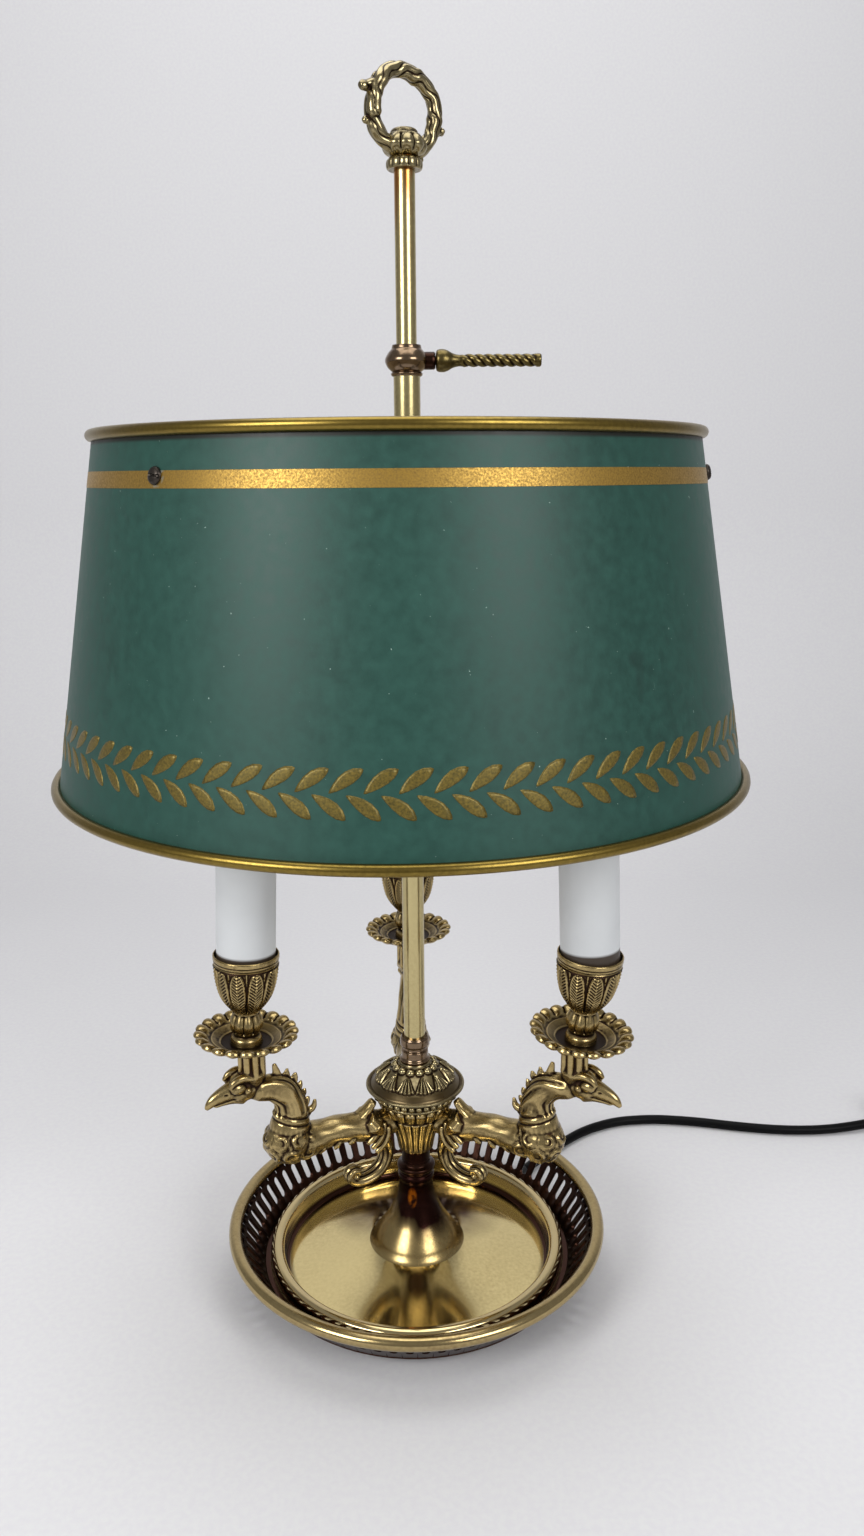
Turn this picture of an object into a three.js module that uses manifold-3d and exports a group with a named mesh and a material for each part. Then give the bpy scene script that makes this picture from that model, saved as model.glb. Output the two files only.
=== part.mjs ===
// A bouillotte lamp: a pierced brass dish with an urn in the middle, three cast bird arms that carry
// candle lights, and a painted metal shade that slides and turns on a central rod, held by a key.
// Millimetres, +Z up. The origin is on the lamp's axis, on the table that it stands on.

import * as THREE from 'three';
import { mergeVertices } from 'three/addons/utils/BufferGeometryUtils.js';
import Module from 'manifold-3d';

const wasm = await Module();
wasm.setup();

// Fits
const slack = 0.3; // gap left round a piece that passes through or rests inside another
const overrun = 2; // how far a cutter runs past the metal that it cuts
const mergeDistance = 0.0001; // corners nearer than this are one corner

// How finely round things are divided. Each is a multiple of four.
const wideSides = 40;
const dishSides = 36;
const midSides = 20;
const smallSides = 12;
const tinySides = 12;
const leastSides = 8;
const spikeSides = 4;

// Base dish
const galleryFootRadius = 76; // where the pierced wall rises from the channel
const dishFlare = 17.4; // from there out to the rolled rim's outside
const dishRimHeight = 27; // middle of the rolled rim above the table
const dishRoll = 3.2; // radius of the roll
const dishWall = 1.7; // thickness of the cast plate and of the pierced wall
const footInset = 7; // from the pierced wall's foot in to the foot ring
const footRingWall = 2.1;
const feltProud = 0.6; // how far the felt stands out under the foot ring
const channelHeight = 9.6; // top face of the channel at the foot of the pierced wall
const beadInset = 6.1; // from the pierced wall's foot in to the middle of the raised bead
const beadRoll = 3.3;
const beadHeight = 14.6;
const grooveHeight = 7.6; // bottom of the groove inside the bead
const floorInset = 6.4; // from the bead's middle in to the edge of the polished floor
const floorEdgeHeight = 6.8; // the floor is a low dome
const floorMidRadius = 41;
const floorMidHeight = 10.6;
const floorHeight = 15.5; // its top, which the trumpet stands on
const slotCount = 72;
const slotWidth = 3.2;
const slotBottom = 14;
const slotTop = 23.4;

// What lies hidden under the dish
const feltClear = 0.5; // gap left round the felt inside the foot ring
const feltThickness = 1.6;
const weightClear = 1.6; // how far the weight keeps inside the floor's edge
const nutAcross = 17; // hexagon nut, across its corners
const nutHeight = 4.2;
const rodRadius = 5; // threaded rod that ties the turned pieces together
const rodBore = 3; // wire way through the rod
const rodHole = rodRadius + slack;

// Turned pieces on the threaded rod, from the floor up
const trumpetRadius = 21.9;
const trumpetHeight = 39.5;
const collarRadius = 9.4;
const collarHeight = 4.8;
const vaseRadius = 18.3;
const vaseHeight = 31.2;
const beadRingRadius = 19.8;
const beadRingHeight = 4.5;
const domeRadius = 24;
const domeHeight = 17.8;
const stemCollarRadius = 7.3;
const stemCollarHeight = 13.2;
const rodIntoCollar = 3; // how far the rod reaches into the stem collar

// Stem, rod and finial
const stemRadius = 5.07;
const stemBore = 3.2;
const stemLength = 214.7; // the stem ends inside the shade
const stemSeat = 4; // how far the stem stands inside its collar
const slideRodRadius = 4.3;
const slideRodSocket = 14; // depth of the socket at the stem's top
const rodIntoFinial = 10.5; // how far the slide rod reaches into the finial and its collar
const finialCollarRadius = 7.4;
const finialCollarHeight = 4.6;
const finialRadius = 9.2; // boss of the finial, below its ring
const finialHeight = 9.5;
const finialRingRadius = 14.9; // to the middle of the cast branch
const branchRadius = 3.3;
const finialRingSink = 7.9; // how far the branch reaches down into the boss
const finialRingTurn = 33; // degrees that the ring's plane is turned towards the front
const twigLength = 4.4;
const twigRadius = 1.5;

// Bird arms. The cast arms of the lamp in view aren't quite evenly spaced or upright.
const armReach = 84.5; // from the lamp's axis to the candle
const armAzimuths = [207, 331, 92]; // degrees from +X
const cupLeans = [-2.5, 5, 0]; // degrees outward from upright
const sleeveLeans = [-2.7, -2.3, 0];
const birdLift = 18.6; // from the vase's foot to the underside of the breast
const stubRadius = 6.8;
const armDepth = 61.3; // from the breast's underside to the top of the fluted stub on the head

// Candle pans, cups and lights, measured up from the stub
const panRadius = 23.3;
const panHeight = 9.2;
const panLobes = 20;
const panLobeDepth = 1.1;
const panSeat = 3.4; // the cup stands on the pan's floor at this height
const cupHeight = 42.1;
const cupRadius = 14.6; // outer radius of the mouth
const cupBore = 13.8; // inner radius of the mouth
const cupSeat = 37.6; // height of the ledge that the sleeve stands on
const cupPocket = 9.5; // radius of the pocket under the ledge
const cupPocketFloor = 20.6;
const sleeveRadius = 13;
const sleeveWall = 1;
const sleeveLength = 85;
const socketRadius = sleeveRadius - sleeveWall - slack;
const socketNeck = 4.5;
const socketBore = 7.4;
const socketDepth = 20;
const socketBelowSleeve = 2; // how far the socket's top stays under the sleeve's top
const bulbRadius = 17.5;
const bulbLength = 76; // glass alone
const bulbWall = 1;
const bulbNeck = 6.9;
const capRadius = socketBore - slack;
const capLength = 18;
const capPlug = 3; // length of the cap's plug inside the glass

// Sliding carrier and its clamp key
const carrierRadius = 5.64;
const carrierBore = slideRodRadius + slack;
const carrierLength = 68.5;
const carrierDrop = 40.5; // room under the carrier, down to the stem's top
const carrierRise = 66.8; // room over the ball collar, up to the finial's collar
const flangeRadius = 8.4; // shoulder that the spider's hub turns under
const flangeThickness = 2;
const ballRadius = 9.1;
const ballBelowTop = 5.5; // from the carrier's top down to the ball's middle
const ballDepth = 12.4; // over the ball's two end rings
const bossRadius = 3.6;
const bossReach = 12; // how far the boss stands from the rod's axis
const keyShank = 1.8;
const keyReach = 56.6; // tip of the key from the rod's axis
const keyHeadRadius = 4.5;
const keyHeadLength = 9;
const keyHandleRadius = 2.6;
const keyTwists = 2.4;
const keySides = 6;
const keySteps = 12;

// Shade
const shadeTopRadius = 125.9; // outside of the sheet where it meets the upper rim
const shadeBottomRadius = 149.5;
const shadeHeight = 142.8; // between the middles of the two rims
const shadeLift = 25; // from the hub's underside to the middle of the upper rim
const shadeSheet = 0.8;
const shadeAside = -3.8; // the drum of the lamp in view stands this far off the rod's axis, along X
const rimRoll = 2.3; // radius of the wire rims
const upperRimProud = 0.45; // how far each rim's middle stands outside the sheet's line
const lowerRimProud = 1.2;
const rimSides = 6;
const hubRadius = 11;
const hubHeight = 5;
const hubLift = 7.5; // from the carrier's lower end to the hub's underside
const spokeWidth = 8;
const spokeThickness = 2;
const tabLift = 14; // from the hub's underside to the top of each spoke's upturned end
const spokeAzimuth = 109.6; // first of three, in degrees from +X
const screwBelowTab = 4.7; // from the top of the upturned end down to the screw
const screwRadius = 1.5;
const screwHeadRadius = 3.2;
const screwHeadHeight = 1.8;
const screwLength = 6;
const ringNutRadius = 8.8;
const ringNutHeight = 4;

// Cord, with the outlet that it leaves the base by
const cordDiameter = 5.4;
const cordRadius = cordDiameter / 2;
const cordSides = 8;
const cordStep = 2.5 * cordDiameter;
const outletAzimuth = 50; // degrees from +X
const outletHeight = 4;
const outletLength = 25;
const outletWide = 3.6;
const outletNarrow = 2.9;
const outletShank = 2.6;

// Cord route, chosen by hand: it leaves the outlet, crosses the table to the switch, turns past it
// into the coil, and leaves the coil for the plug.
const leadRoute = [
  [61.6, 73.4, 4], [67.4, 80.2, 3.6], [74.9, 89.1, 3.0], [83.6, 98.6, 2.8], [92.8, 107.3, 2.8],
  [102.6, 114.9, 2.8], [113.9, 120.9, 2.8], [124.8, 124.6, 2.8], [136, 126.1, 2.8],
  [147, 126.4, 2.8], [157.6, 125.4, 2.8], [174.4, 122.4, 2.8], [189.1, 118.7, 2.8],
  [204.2, 115.3, 2.8], [220.4, 112.7, 2.8], [235.4, 111.8, 2.8], [250.2, 112.3, 3.0],
  [261.2, 113.6, 3.4], [272.6, 115.4, 4.1], [280.1, 116.5, 4.8], [287.5, 117.55, 5],
];
const tailRoute = [
  [345.3, 125.73, 5], [352.7, 126.77, 4.9], [360.4, 126.1, 4.5], [367.2, 122.6, 4], [372.5, 116.6, 3.8],
  [374.2, 109, 3.7], [374.2, 100, 3.7], [373.6, 90.6, 3.7], [373.8, 82, 3.7],
  [374.9, 76.2, 3.7], [376.25, 72.1, 3.7],
];
const endRoute = [
  [354.9, 13.1, 9.7], [346.4, 8.1, 9.4], [337.9, 3.1, 8], [333.57, 0.62, 7.1], [329.24, -1.88, 6.85],
];

// Coil: two layers, in and out again
const coilCentre = [339, 52];
const coilMeanRadius = 32.4;
const coilTurns = 6 + 80 / 360;
const coilGap = 0.6; // between neighbouring turns
const coilPitch = cordDiameter + coilGap;
const coilStart = 20; // degrees from +X, wound clockwise seen from above
const coilHeight = 3.7; // middle of the lower layer's cord
const coilSides = 6;
const coilStepsPerTurn = 20;
const tieAzimuth = 180;
const tieWidth = 6;
const tieThickness = 0.6;

// Switch and plug on the cord
const switchCentre = [316.4, 121.64];
const switchTurn = 8.05; // degrees from +X
const switchLength = 57.5;
const switchWidth = 24;
const switchHalfHeight = 8;
const rockerLength = 19;
const rockerWidth = 10;
const rockerPivot = 13.4; // height of the rocker's axle
const rockerBelow = 1.9; // from the axle to the rocker's underside
const rockerHeight = 6.4;
const rockerTilt = 6; // degrees each way from level. It rests tipped to one side.
const plugStart = [328.98, -2.03];
const plugTurn = 210; // degrees from +X
const plugBodyLength = 25;
const plugNeckLength = 11;
const plugWidth = 26;
const plugNose = 32; // width across the pin face
const plugThickness = 13.7;
const plugNeckRadius = 4.6;
const pinRadius = 2;
const pinLength = 19;
const pinSpacing = 18.6;
const pinHold = 5; // how far each pin reaches into the plug

// Radii of the dish and what it holds, worked out from the sizes above
const dishRimRadius = galleryFootRadius + dishFlare;
const dishFootRadius = galleryFootRadius - footInset;
const beadRadius = galleryFootRadius - beadInset;
const floorRadius = beadRadius - floorInset;
const feltRadius = dishFootRadius - footRingWall - feltClear;
const weightRadius = floorRadius - weightClear;

// Heights above the table, worked out from the sizes above
const trumpetBottom = floorHeight;
const collarBottom = trumpetBottom + trumpetHeight;
const vaseBottom = collarBottom + collarHeight;
const beadRingBottom = vaseBottom + vaseHeight;
const domeBottom = beadRingBottom + beadRingHeight;
const stemCollarBottom = domeBottom + domeHeight;
const birdBottom = vaseBottom + birdLift;
const stubTop = birdBottom + armDepth;
const stemBottom = stemCollarBottom + stemSeat;
const stemTop = stemBottom + stemLength;
const carrierBottom = stemTop + carrierDrop;
const carrierTop = carrierBottom + carrierLength;
const ballHeight = carrierTop - ballBelowTop;
const finialBottom = ballHeight + ballDepth / 2 + carrierRise;
const slideRodTop = finialBottom + rodIntoFinial;
const hubBottom = carrierBottom + hubLift;
const tabTop = hubBottom + tabLift;
const screwHeight = tabTop - screwBelowTab;
const shadeTop = hubBottom + shadeLift;
const shadeBottom = shadeTop - shadeHeight;
const upperRimRadius = shadeTopRadius + upperRimProud;
const lowerRimRadius = shadeBottomRadius + lowerRimProud;

const degrees = Math.PI / 180;

// Materials, as the eye sees them
const finish = (color, roughness, metalness) =>
  new THREE.MeshStandardMaterial({ color, roughness, metalness });
const polishedBrass = finish(0xb59a56, 0.2, 1);
const castBrass = finish(0x8a7443, 0.38, 1);
const tubeBrass = finish(0xa98a4c, 0.25, 1);
const tarnishedBrass = finish(0x6b5135, 0.35, 1);
const greenPaint = finish(0x3d6b5c, 0.45, 0);
const giltPaint = finish(0xa07f3a, 0.45, 0.6);
const darkSteel = finish(0x3a3632, 0.45, 1);
const zincSteel = finish(0x9c9c98, 0.4, 1);
const castIron = finish(0x2c2c2d, 0.75, 0.6);
const greenFelt = finish(0x2d4a3a, 1, 0);
const whiteSleeve = finish(0xe6eaee, 0.5, 0);
const blackPlastic = finish(0x151a19, 0.45, 0);
const cordPlastic = finish(0x10201f, 0.5, 0);
const clearGlass = finish(0xf2f4f5, 0.05, 0);

// Geometry helpers

// One closed body: corners merged, empty triangles dropped, faces pointing out.
function solidOf(geometry) {
  const bare = new THREE.BufferGeometry();
  bare.setAttribute('position', geometry.getAttribute('position').clone());
  if (geometry.index) bare.setIndex(geometry.index.clone());
  const merged = mergeVertices(bare, mergeDistance);
  const corner = merged.index.array;
  const place = merged.getAttribute('position');
  const point = (i) => new THREE.Vector3().fromBufferAttribute(place, i);
  const faces = [];
  let volume = 0;
  for (let i = 0; i < corner.length; i += 3) {
    const [a, b, c] = [corner[i], corner[i + 1], corner[i + 2]];
    if (a === b || b === c || c === a) continue;
    faces.push([a, b, c]);
    volume += point(a).dot(point(b).cross(point(c)));
  }
  const outward = volume < 0 ? faces.map(([a, b, c]) => [a, c, b]) : faces;
  merged.setIndex(outward.flat());
  return merged;
}

const asManifold = (geometry) => {
  const solid = solidOf(geometry);
  return new wasm.Manifold(
    new wasm.Mesh({
      numProp: 3,
      vertProperties: new Float32Array(solid.getAttribute('position').array),
      triVerts: new Uint32Array(solid.index.array),
    }),
  );
};

const fromManifold = (manifold) => {
  const mesh = manifold.getMesh();
  const geometry = new THREE.BufferGeometry();
  geometry.setAttribute('position', new THREE.BufferAttribute(mesh.vertProperties, 3));
  geometry.setIndex(new THREE.BufferAttribute(mesh.triVerts, 1));
  return geometry;
};

const joined = (pieces) =>
  fromManifold(pieces.map(asManifold).reduce((whole, piece) => whole.add(piece)));

const carved = (body, cutters) =>
  fromManifold(cutters.map(asManifold).reduce((left, cutter) => left.subtract(cutter), asManifold(body)));

// A body turned about Z from [radius, height] points. An outline off the axis is closed on itself.
function turned(points, sides) {
  const outline = points.map(([radius, height]) => new THREE.Vector2(radius, height));
  if (points[0][0] > 0) outline.push(outline[0].clone());
  return solidOf(new THREE.LatheGeometry(outline, sides).rotateX(Math.PI / 2));
}

// An outline in shares of a radius and a height, as [radius, height] points.
const outlineOf = (shares, radius, bottom, height) =>
  shares.map(([r, h]) => [radius * r, bottom + height * h]);

// A turned piece with a straight bore through it.
function turnedRing(shares, radius, bottom, height, bore, sides) {
  const outline = outlineOf(shares, radius, bottom, height);
  return turned([[bore, bottom], ...outline, [bore, bottom + height]], sides);
}

const tubeOf = (radius, bore, bottom, top, sides) =>
  turned([[bore, bottom], [radius, bottom], [radius, top], [bore, top]], sides);

const rodOf = (radius, bottom, top, sides) =>
  turned([[0, bottom], [radius, bottom], [radius, top], [0, top]], sides);

// Points of an arc in the [radius, height] plane.
function arc(middle, radius, from, to, steps) {
  return Array.from({ length: steps + 1 }, (_, i) => {
    const turn = (from + ((to - from) * i) / steps) * degrees;
    return [middle[0] + radius * Math.cos(turn), middle[1] + radius * Math.sin(turn)];
  });
}

// A closed skin over rings of points, each end covered by a fan.
function skinned(rings) {
  const sides = rings[0].length;
  const middles = [rings[0], rings[rings.length - 1]].map((ring) =>
    ring.reduce((sum, p) => sum.add(p), new THREE.Vector3()).divideScalar(sides),
  );
  const points = [...rings.flat(), ...middles];
  const faces = [];
  const last = (rings.length - 1) * sides;
  for (let k = 0; k < sides; k += 1) {
    const next = (k + 1) % sides;
    for (let i = 0; i < rings.length - 1; i += 1) {
      const [a, b] = [i * sides + k, i * sides + next];
      faces.push(a, b, b + sides, a, b + sides, a + sides);
    }
    faces.push(points.length - 2, next, k, points.length - 1, last + k, last + next);
  }
  const geometry = new THREE.BufferGeometry().setFromPoints(points);
  geometry.setIndex(faces);
  return solidOf(geometry);
}

// A round limb through [reach, height, radius] stations in the XZ plane, wider or flatter in Y.
function limb(stations, sides, sideShare = 1) {
  const rings = stations.map(([reach, height, radius], i) => {
    const before = stations[Math.max(i - 1, 0)];
    const after = stations[Math.min(i + 1, stations.length - 1)];
    const along = new THREE.Vector2(after[0] - before[0], after[1] - before[1]).normalize();
    return Array.from({ length: sides }, (_, k) => {
      const turn = (k / sides) * 2 * Math.PI;
      const rise = radius * Math.cos(turn);
      const side = radius * sideShare * Math.sin(turn);
      return new THREE.Vector3(reach - along.y * rise, side, height + along.x * rise);
    });
  });
  return skinned(rings);
}

// A round tube along a curve.
function tubeAlong(curve, sides, steps) {
  const section = new THREE.Shape(
    Array.from({ length: sides }, (_, k) => {
      const turn = (k / sides) * 2 * Math.PI;
      return new THREE.Vector2(cordRadius * Math.cos(turn), cordRadius * Math.sin(turn));
    }),
  );
  return solidOf(new THREE.ExtrudeGeometry(section, { steps, extrudePath: curve }));
}

function cordAlong(route) {
  const curve = new THREE.CatmullRomCurve3(route.map((p) => new THREE.Vector3(...p)));
  return tubeAlong(curve, cordSides, Math.ceil(curve.getLength() / cordStep));
}

// A plate with a rounded outline, standing on height bottom.
function plate(length, width, corner, bottom, height, holes = []) {
  const [x, y] = [length / 2, width / 2];
  const shape = new THREE.Shape();
  shape.moveTo(corner - x, -y);
  shape.lineTo(x - corner, -y).absarc(x - corner, corner - y, corner, -Math.PI / 2, 0);
  shape.lineTo(x, y - corner).absarc(x - corner, y - corner, corner, 0, Math.PI / 2);
  shape.lineTo(corner - x, y).absarc(corner - x, y - corner, corner, Math.PI / 2, Math.PI);
  shape.lineTo(-x, corner - y).absarc(corner - x, corner - y, corner, Math.PI, 1.5 * Math.PI);
  shape.holes = holes;
  const options = { depth: height, bevelEnabled: false, curveSegments: 3 };
  return new THREE.ExtrudeGeometry(shape, options).translate(0, 0, bottom);
}

const rectangle = (length, width) =>
  new THREE.Path([
    new THREE.Vector2(-length / 2, -width / 2),
    new THREE.Vector2(-length / 2, width / 2),
    new THREE.Vector2(length / 2, width / 2),
    new THREE.Vector2(length / 2, -width / 2),
  ]);

const block = (x, y, z, middle) => new THREE.BoxGeometry(x, y, z).translate(...middle);

// A round bar along +X.
const barAlongX = (radius, from, to, sides) =>
  turned([[0, from], [radius, from], [radius, to], [0, to]], sides).rotateY(Math.PI / 2);

const lamp = new THREE.Group();

function add(parent, name, geometry, material) {
  const mesh = new THREE.Mesh(geometry, material);
  mesh.name = name;
  parent.add(mesh);
  return mesh;
}

function groupIn(parent, position = [0, 0, 0]) {
  const group = new THREE.Group();
  group.position.set(...position);
  parent.add(group);
  return group;
}

// Base: the pierced dish, with its iron weight and felt underneath

const rollFrom = -105; // degrees about the roll, from the outer wall to the inner one
const rollTo = 195;
const rollSteps = 6;

// The domed floor from the rod out to its edge, moved up by a distance.
const floorLine = (up) => [
  [rodHole, floorHeight + up],
  [trumpetRadius, floorHeight + up],
  [floorMidRadius, floorMidHeight + up],
  [floorRadius, floorEdgeHeight + up],
];

function baseDish() {
  const under = channelHeight - dishWall;
  const footInner = dishFootRadius - footRingWall;
  const rollMiddle = [dishRimRadius - dishRoll, dishRimHeight];
  const outline = [
    ...floorLine(-dishWall),
    [footInner, floorEdgeHeight - dishWall],
    [footInner, feltProud],
    [dishFootRadius, feltProud],
    [dishFootRadius + footRingWall / 2, under],
    [galleryFootRadius + dishWall, under],
    ...arc(rollMiddle, dishRoll, rollFrom, rollTo, rollSteps),
    [galleryFootRadius, channelHeight],
    [beadRadius + beadRoll, channelHeight],
    ...arc([beadRadius, beadHeight], beadRoll, 0, 180, 3),
    [floorRadius + dishWall, grooveHeight],
    ...floorLine(0).reverse(),
  ];
  const slotDepth = dishRimRadius - galleryFootRadius + 2 * overrun;
  const slotMiddle = (dishRimRadius + galleryFootRadius) / 2;
  const slots = Array.from({ length: slotCount }, (_, i) =>
    block(slotDepth, slotWidth, slotTop - slotBottom, [slotMiddle, 0, (slotTop + slotBottom) / 2]).rotateZ(
      ((i + 0.5) / slotCount) * 2 * Math.PI,
    ),
  );
  const outlet = barAlongX(
    outletShank + slack,
    dishFootRadius - footRingWall - overrun,
    dishFootRadius + overrun,
    tinySides,
  )
    .translate(0, 0, outletHeight)
    .rotateZ(outletAzimuth * degrees);
  return carved(turned(outline, dishSides), [...slots, outlet]);
}

add(lamp, 'base_dish', baseDish(), polishedBrass);

const weightUp = -dishWall - slack;
const weightBottom = feltThickness + slack;
const nutTop = weightBottom + slack + nutHeight;
const weightOutline = [
  [nutAcross / 2 + slack, weightBottom],
  [weightRadius, weightBottom],
  [weightRadius, floorEdgeHeight + weightUp],
  [floorMidRadius, floorMidHeight + weightUp],
  [trumpetRadius, floorHeight + weightUp],
  [rodHole, floorHeight + weightUp],
  [rodHole, nutTop + slack],
  [nutAcross / 2 + slack, nutTop + slack],
];
add(lamp, 'base_weight', turned(weightOutline, midSides), castIron);
add(lamp, 'base_felt', rodOf(feltRadius, 0, feltThickness, dishSides), greenFelt);

const nut = new THREE.CylinderGeometry(nutAcross / 2, nutAcross / 2, nutHeight, 6)
  .rotateX(Math.PI / 2)
  .translate(0, 0, nutTop - nutHeight / 2);
const nutHole = rodOf(rodHole, weightBottom - overrun, nutTop + overrun, smallSides);
add(lamp, 'rod_nut', carved(nut, [nutHole]), zincSteel);

// Urn: turned pieces stacked on the threaded rod

const trumpetShares = [
  [0.99, 0], [1, 0.04], [0.94, 0.09], [0.85, 0.14], [0.74, 0.21], [0.62, 0.3], [0.54, 0.39], [0.45, 0.53],
  [0.38, 0.87], [0.395, 1],
];
const collarShares = [[0.86, 0], [1, 0.25], [1, 0.62], [0.8, 1]];
const vaseShares = [
  [0.37, 0], [0.36, 0.1], [0.465, 0.3], [0.575, 0.46], [0.71, 0.62], [0.9, 0.82], [1, 0.96], [1, 1],
];
const beadRingShares = [[0.93, 0], [1, 0.3], [1, 0.75], [0.95, 1]];
const domeShares = [
  [0.8, 0], [0.99, 0.17], [1, 0.24], [0.94, 0.38], [0.76, 0.6], [0.5, 0.8], [0.31, 0.95], [0.3, 1],
];
const stemCollarShares = [
  [0.99, 0], [1, 0.1], [0.88, 0.2], [0.88, 0.43], [0.77, 0.48], [0.77, 0.6], [0.95, 0.66], [0.95, 0.9],
  [0.85, 1],
];

const onRod = (shares, radius, bottom, height, sides) =>
  turnedRing(shares, radius, bottom, height, rodHole, sides);
add(lamp, 'trumpet_foot', onRod(trumpetShares, trumpetRadius, trumpetBottom, trumpetHeight, midSides),
  polishedBrass);
add(lamp, 'foot_collar', onRod(collarShares, collarRadius, collarBottom, collarHeight, smallSides),
  tarnishedBrass);
add(lamp, 'urn_vase', onRod(vaseShares, vaseRadius, vaseBottom, vaseHeight, midSides), castBrass);
add(lamp, 'urn_bead_ring',
  onRod(beadRingShares, beadRingRadius, beadRingBottom, beadRingHeight, midSides), castBrass);
add(lamp, 'urn_dome', onRod(domeShares, domeRadius, domeBottom, domeHeight, midSides), castBrass);
add(lamp, 'stem_collar',
  turnedRing(stemCollarShares, stemCollarRadius, stemCollarBottom, stemCollarHeight,
    stemRadius + slack, smallSides), tarnishedBrass);

const rodBottom = weightBottom + slack;
const rodTop = Math.min(stemCollarBottom + rodIntoCollar, stemBottom - slack);
add(lamp, 'threaded_rod', tubeOf(rodRadius, rodBore, rodBottom, rodTop, smallSides), zincSteel);

// Stem, slide rod and finial

const rodSeat = stemTop - slideRodSocket;
const stemOutline = [
  [stemBore, stemBottom],
  [stemRadius, stemBottom],
  [stemRadius, stemTop],
  [slideRodRadius + slack, stemTop],
  [slideRodRadius + slack, rodSeat],
  [stemBore, rodSeat],
];
add(lamp, 'stem_tube', turned(stemOutline, smallSides), tubeBrass);
add(lamp, 'slide_rod', rodOf(slideRodRadius, rodSeat + slack, slideRodTop, smallSides), tubeBrass);

const finialCollarShares = [[0.92, 0], [1, 0.2], [1, 0.7], [0.8, 1]];
add(lamp, 'finial_collar',
  turnedRing(finialCollarShares, finialCollarRadius, finialBottom, finialCollarHeight,
    slideRodRadius + slack, smallSides), tarnishedBrass);

// The finial is a bent branch with four cut twigs that stands on a boss. The rod's end fits the boss.
const twigTurns = [208, 147, -24, -58];
const bossShares = [[0.62, 0], [0.98, 0.3], [1, 0.45], [0.86, 0.75], [0.55, 1]];
const bossBottom = finialBottom + finialCollarHeight + slack;
const ringMiddle = bossBottom + finialHeight + finialRingRadius - finialRingSink;
function finial() {
  const branch = new THREE.TorusGeometry(finialRingRadius, branchRadius, rimSides, smallSides + leastSides);
  const twigs = twigTurns.map((turn) =>
    new THREE.CylinderGeometry(twigRadius, twigRadius, twigLength + branchRadius, spikeSides)
      .translate(0, finialRingRadius + (twigLength + branchRadius) / 2, 0)
      .rotateZ((turn - 90) * degrees),
  );
  const upright = [branch, ...twigs].map((piece) => piece.rotateX(Math.PI / 2));
  const boss = turned(
    [[0, bossBottom], ...outlineOf(bossShares, finialRadius, bossBottom, finialHeight),
      [0, bossBottom + finialHeight]],
    smallSides,
  ).translate(0, 0, -ringMiddle);
  const pocket = rodOf(slideRodRadius + slack, bossBottom - overrun, slideRodTop + slack, smallSides);
  const collarRoom = rodOf(finialCollarRadius + slack, finialBottom - overrun, bossBottom, smallSides);
  return carved(joined([...upright, boss]),
    [pocket, collarRoom].map((room) => room.translate(0, 0, -ringMiddle)));
}
const finialPlace = groupIn(lamp, [0, 0, ringMiddle]);
finialPlace.rotation.z = finialRingTurn * degrees;
add(finialPlace, 'finial_ring', finial(), castBrass);

// Bird arms. Stations are [reach, height, radius]: the reach in shares of the arm's reach, the height
// above the breast and the radius in shares of the arm's depth.

const bodyShares = [
  [0.15, 0.124, 0.12], [0.3, 0.127, 0.137], [0.48, 0.132, 0.133], [0.7, 0.152, 0.155],
  [0.82, 0.18, 0.168], [0.885, 0.2, 0.13], [0.924, 0.23, 0.055],
];
const neckShares = [
  [0.8, 0.2, 0.15], [0.783, 0.32, 0.15], [0.769, 0.434, 0.13], [0.772, 0.54, 0.112], [0.811, 0.635, 0.1],
  [0.9, 0.68, 0.097], [1.03, 0.67, 0.107], [1.1, 0.642, 0.08], [1.16, 0.617, 0.045],
  [1.255, 0.56, 0.012],
];
const tailShares = [
  [0.3, 0.16, 0.08], [0.23, 0.03, 0.048], [0.18, -0.11, 0.042], [0.187, -0.21, 0.042],
  [0.225, -0.29, 0.042], [0.3, -0.352, 0.042], [0.395, -0.345, 0.042],
];
const tailWidthShare = 2.1;
const curlWidthShare = 0.18;
const curlShares = [0.408, -0.294, 0.072]; // rolled end of the tail
const bracketShares = [[0.4, 0.2, 0.05], [0.32, 0.26, 0.05], [0.25, 0.3, 0.04]];
const crestShares = [
  [[0.84, 0.66, 0.07], [0.852, 0.822, 0.012]], [[0.8, 0.58, 0.07], [0.767, 0.711, 0.012]],
  [[0.77, 0.49, 0.07], [0.704, 0.568, 0.012]], [[0.74, 0.39, 0.07], [0.64, 0.45, 0.012]],
];
const crestWidthShare = 0.5;
const stubBottomShare = 0.66;

const birdStations = (shares) =>
  shares.map(([reach, height, radius]) => [
    armReach * reach,
    birdBottom + armDepth * height,
    armDepth * radius,
  ]);

// The room that the urn takes, grown by the slack.
function urnRoom() {
  const grown = [
    ...outlineOf(vaseShares, vaseRadius, vaseBottom, vaseHeight),
    ...outlineOf(beadRingShares, beadRingRadius, beadRingBottom, beadRingHeight),
    ...outlineOf(domeShares, domeRadius, domeBottom, domeHeight),
  ].map(([radius, height]) => [radius + slack, height]);
  const top = grown[grown.length - 1][1];
  return turned([[0, vaseBottom], ...grown, [0, top]], midSides);
}

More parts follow.
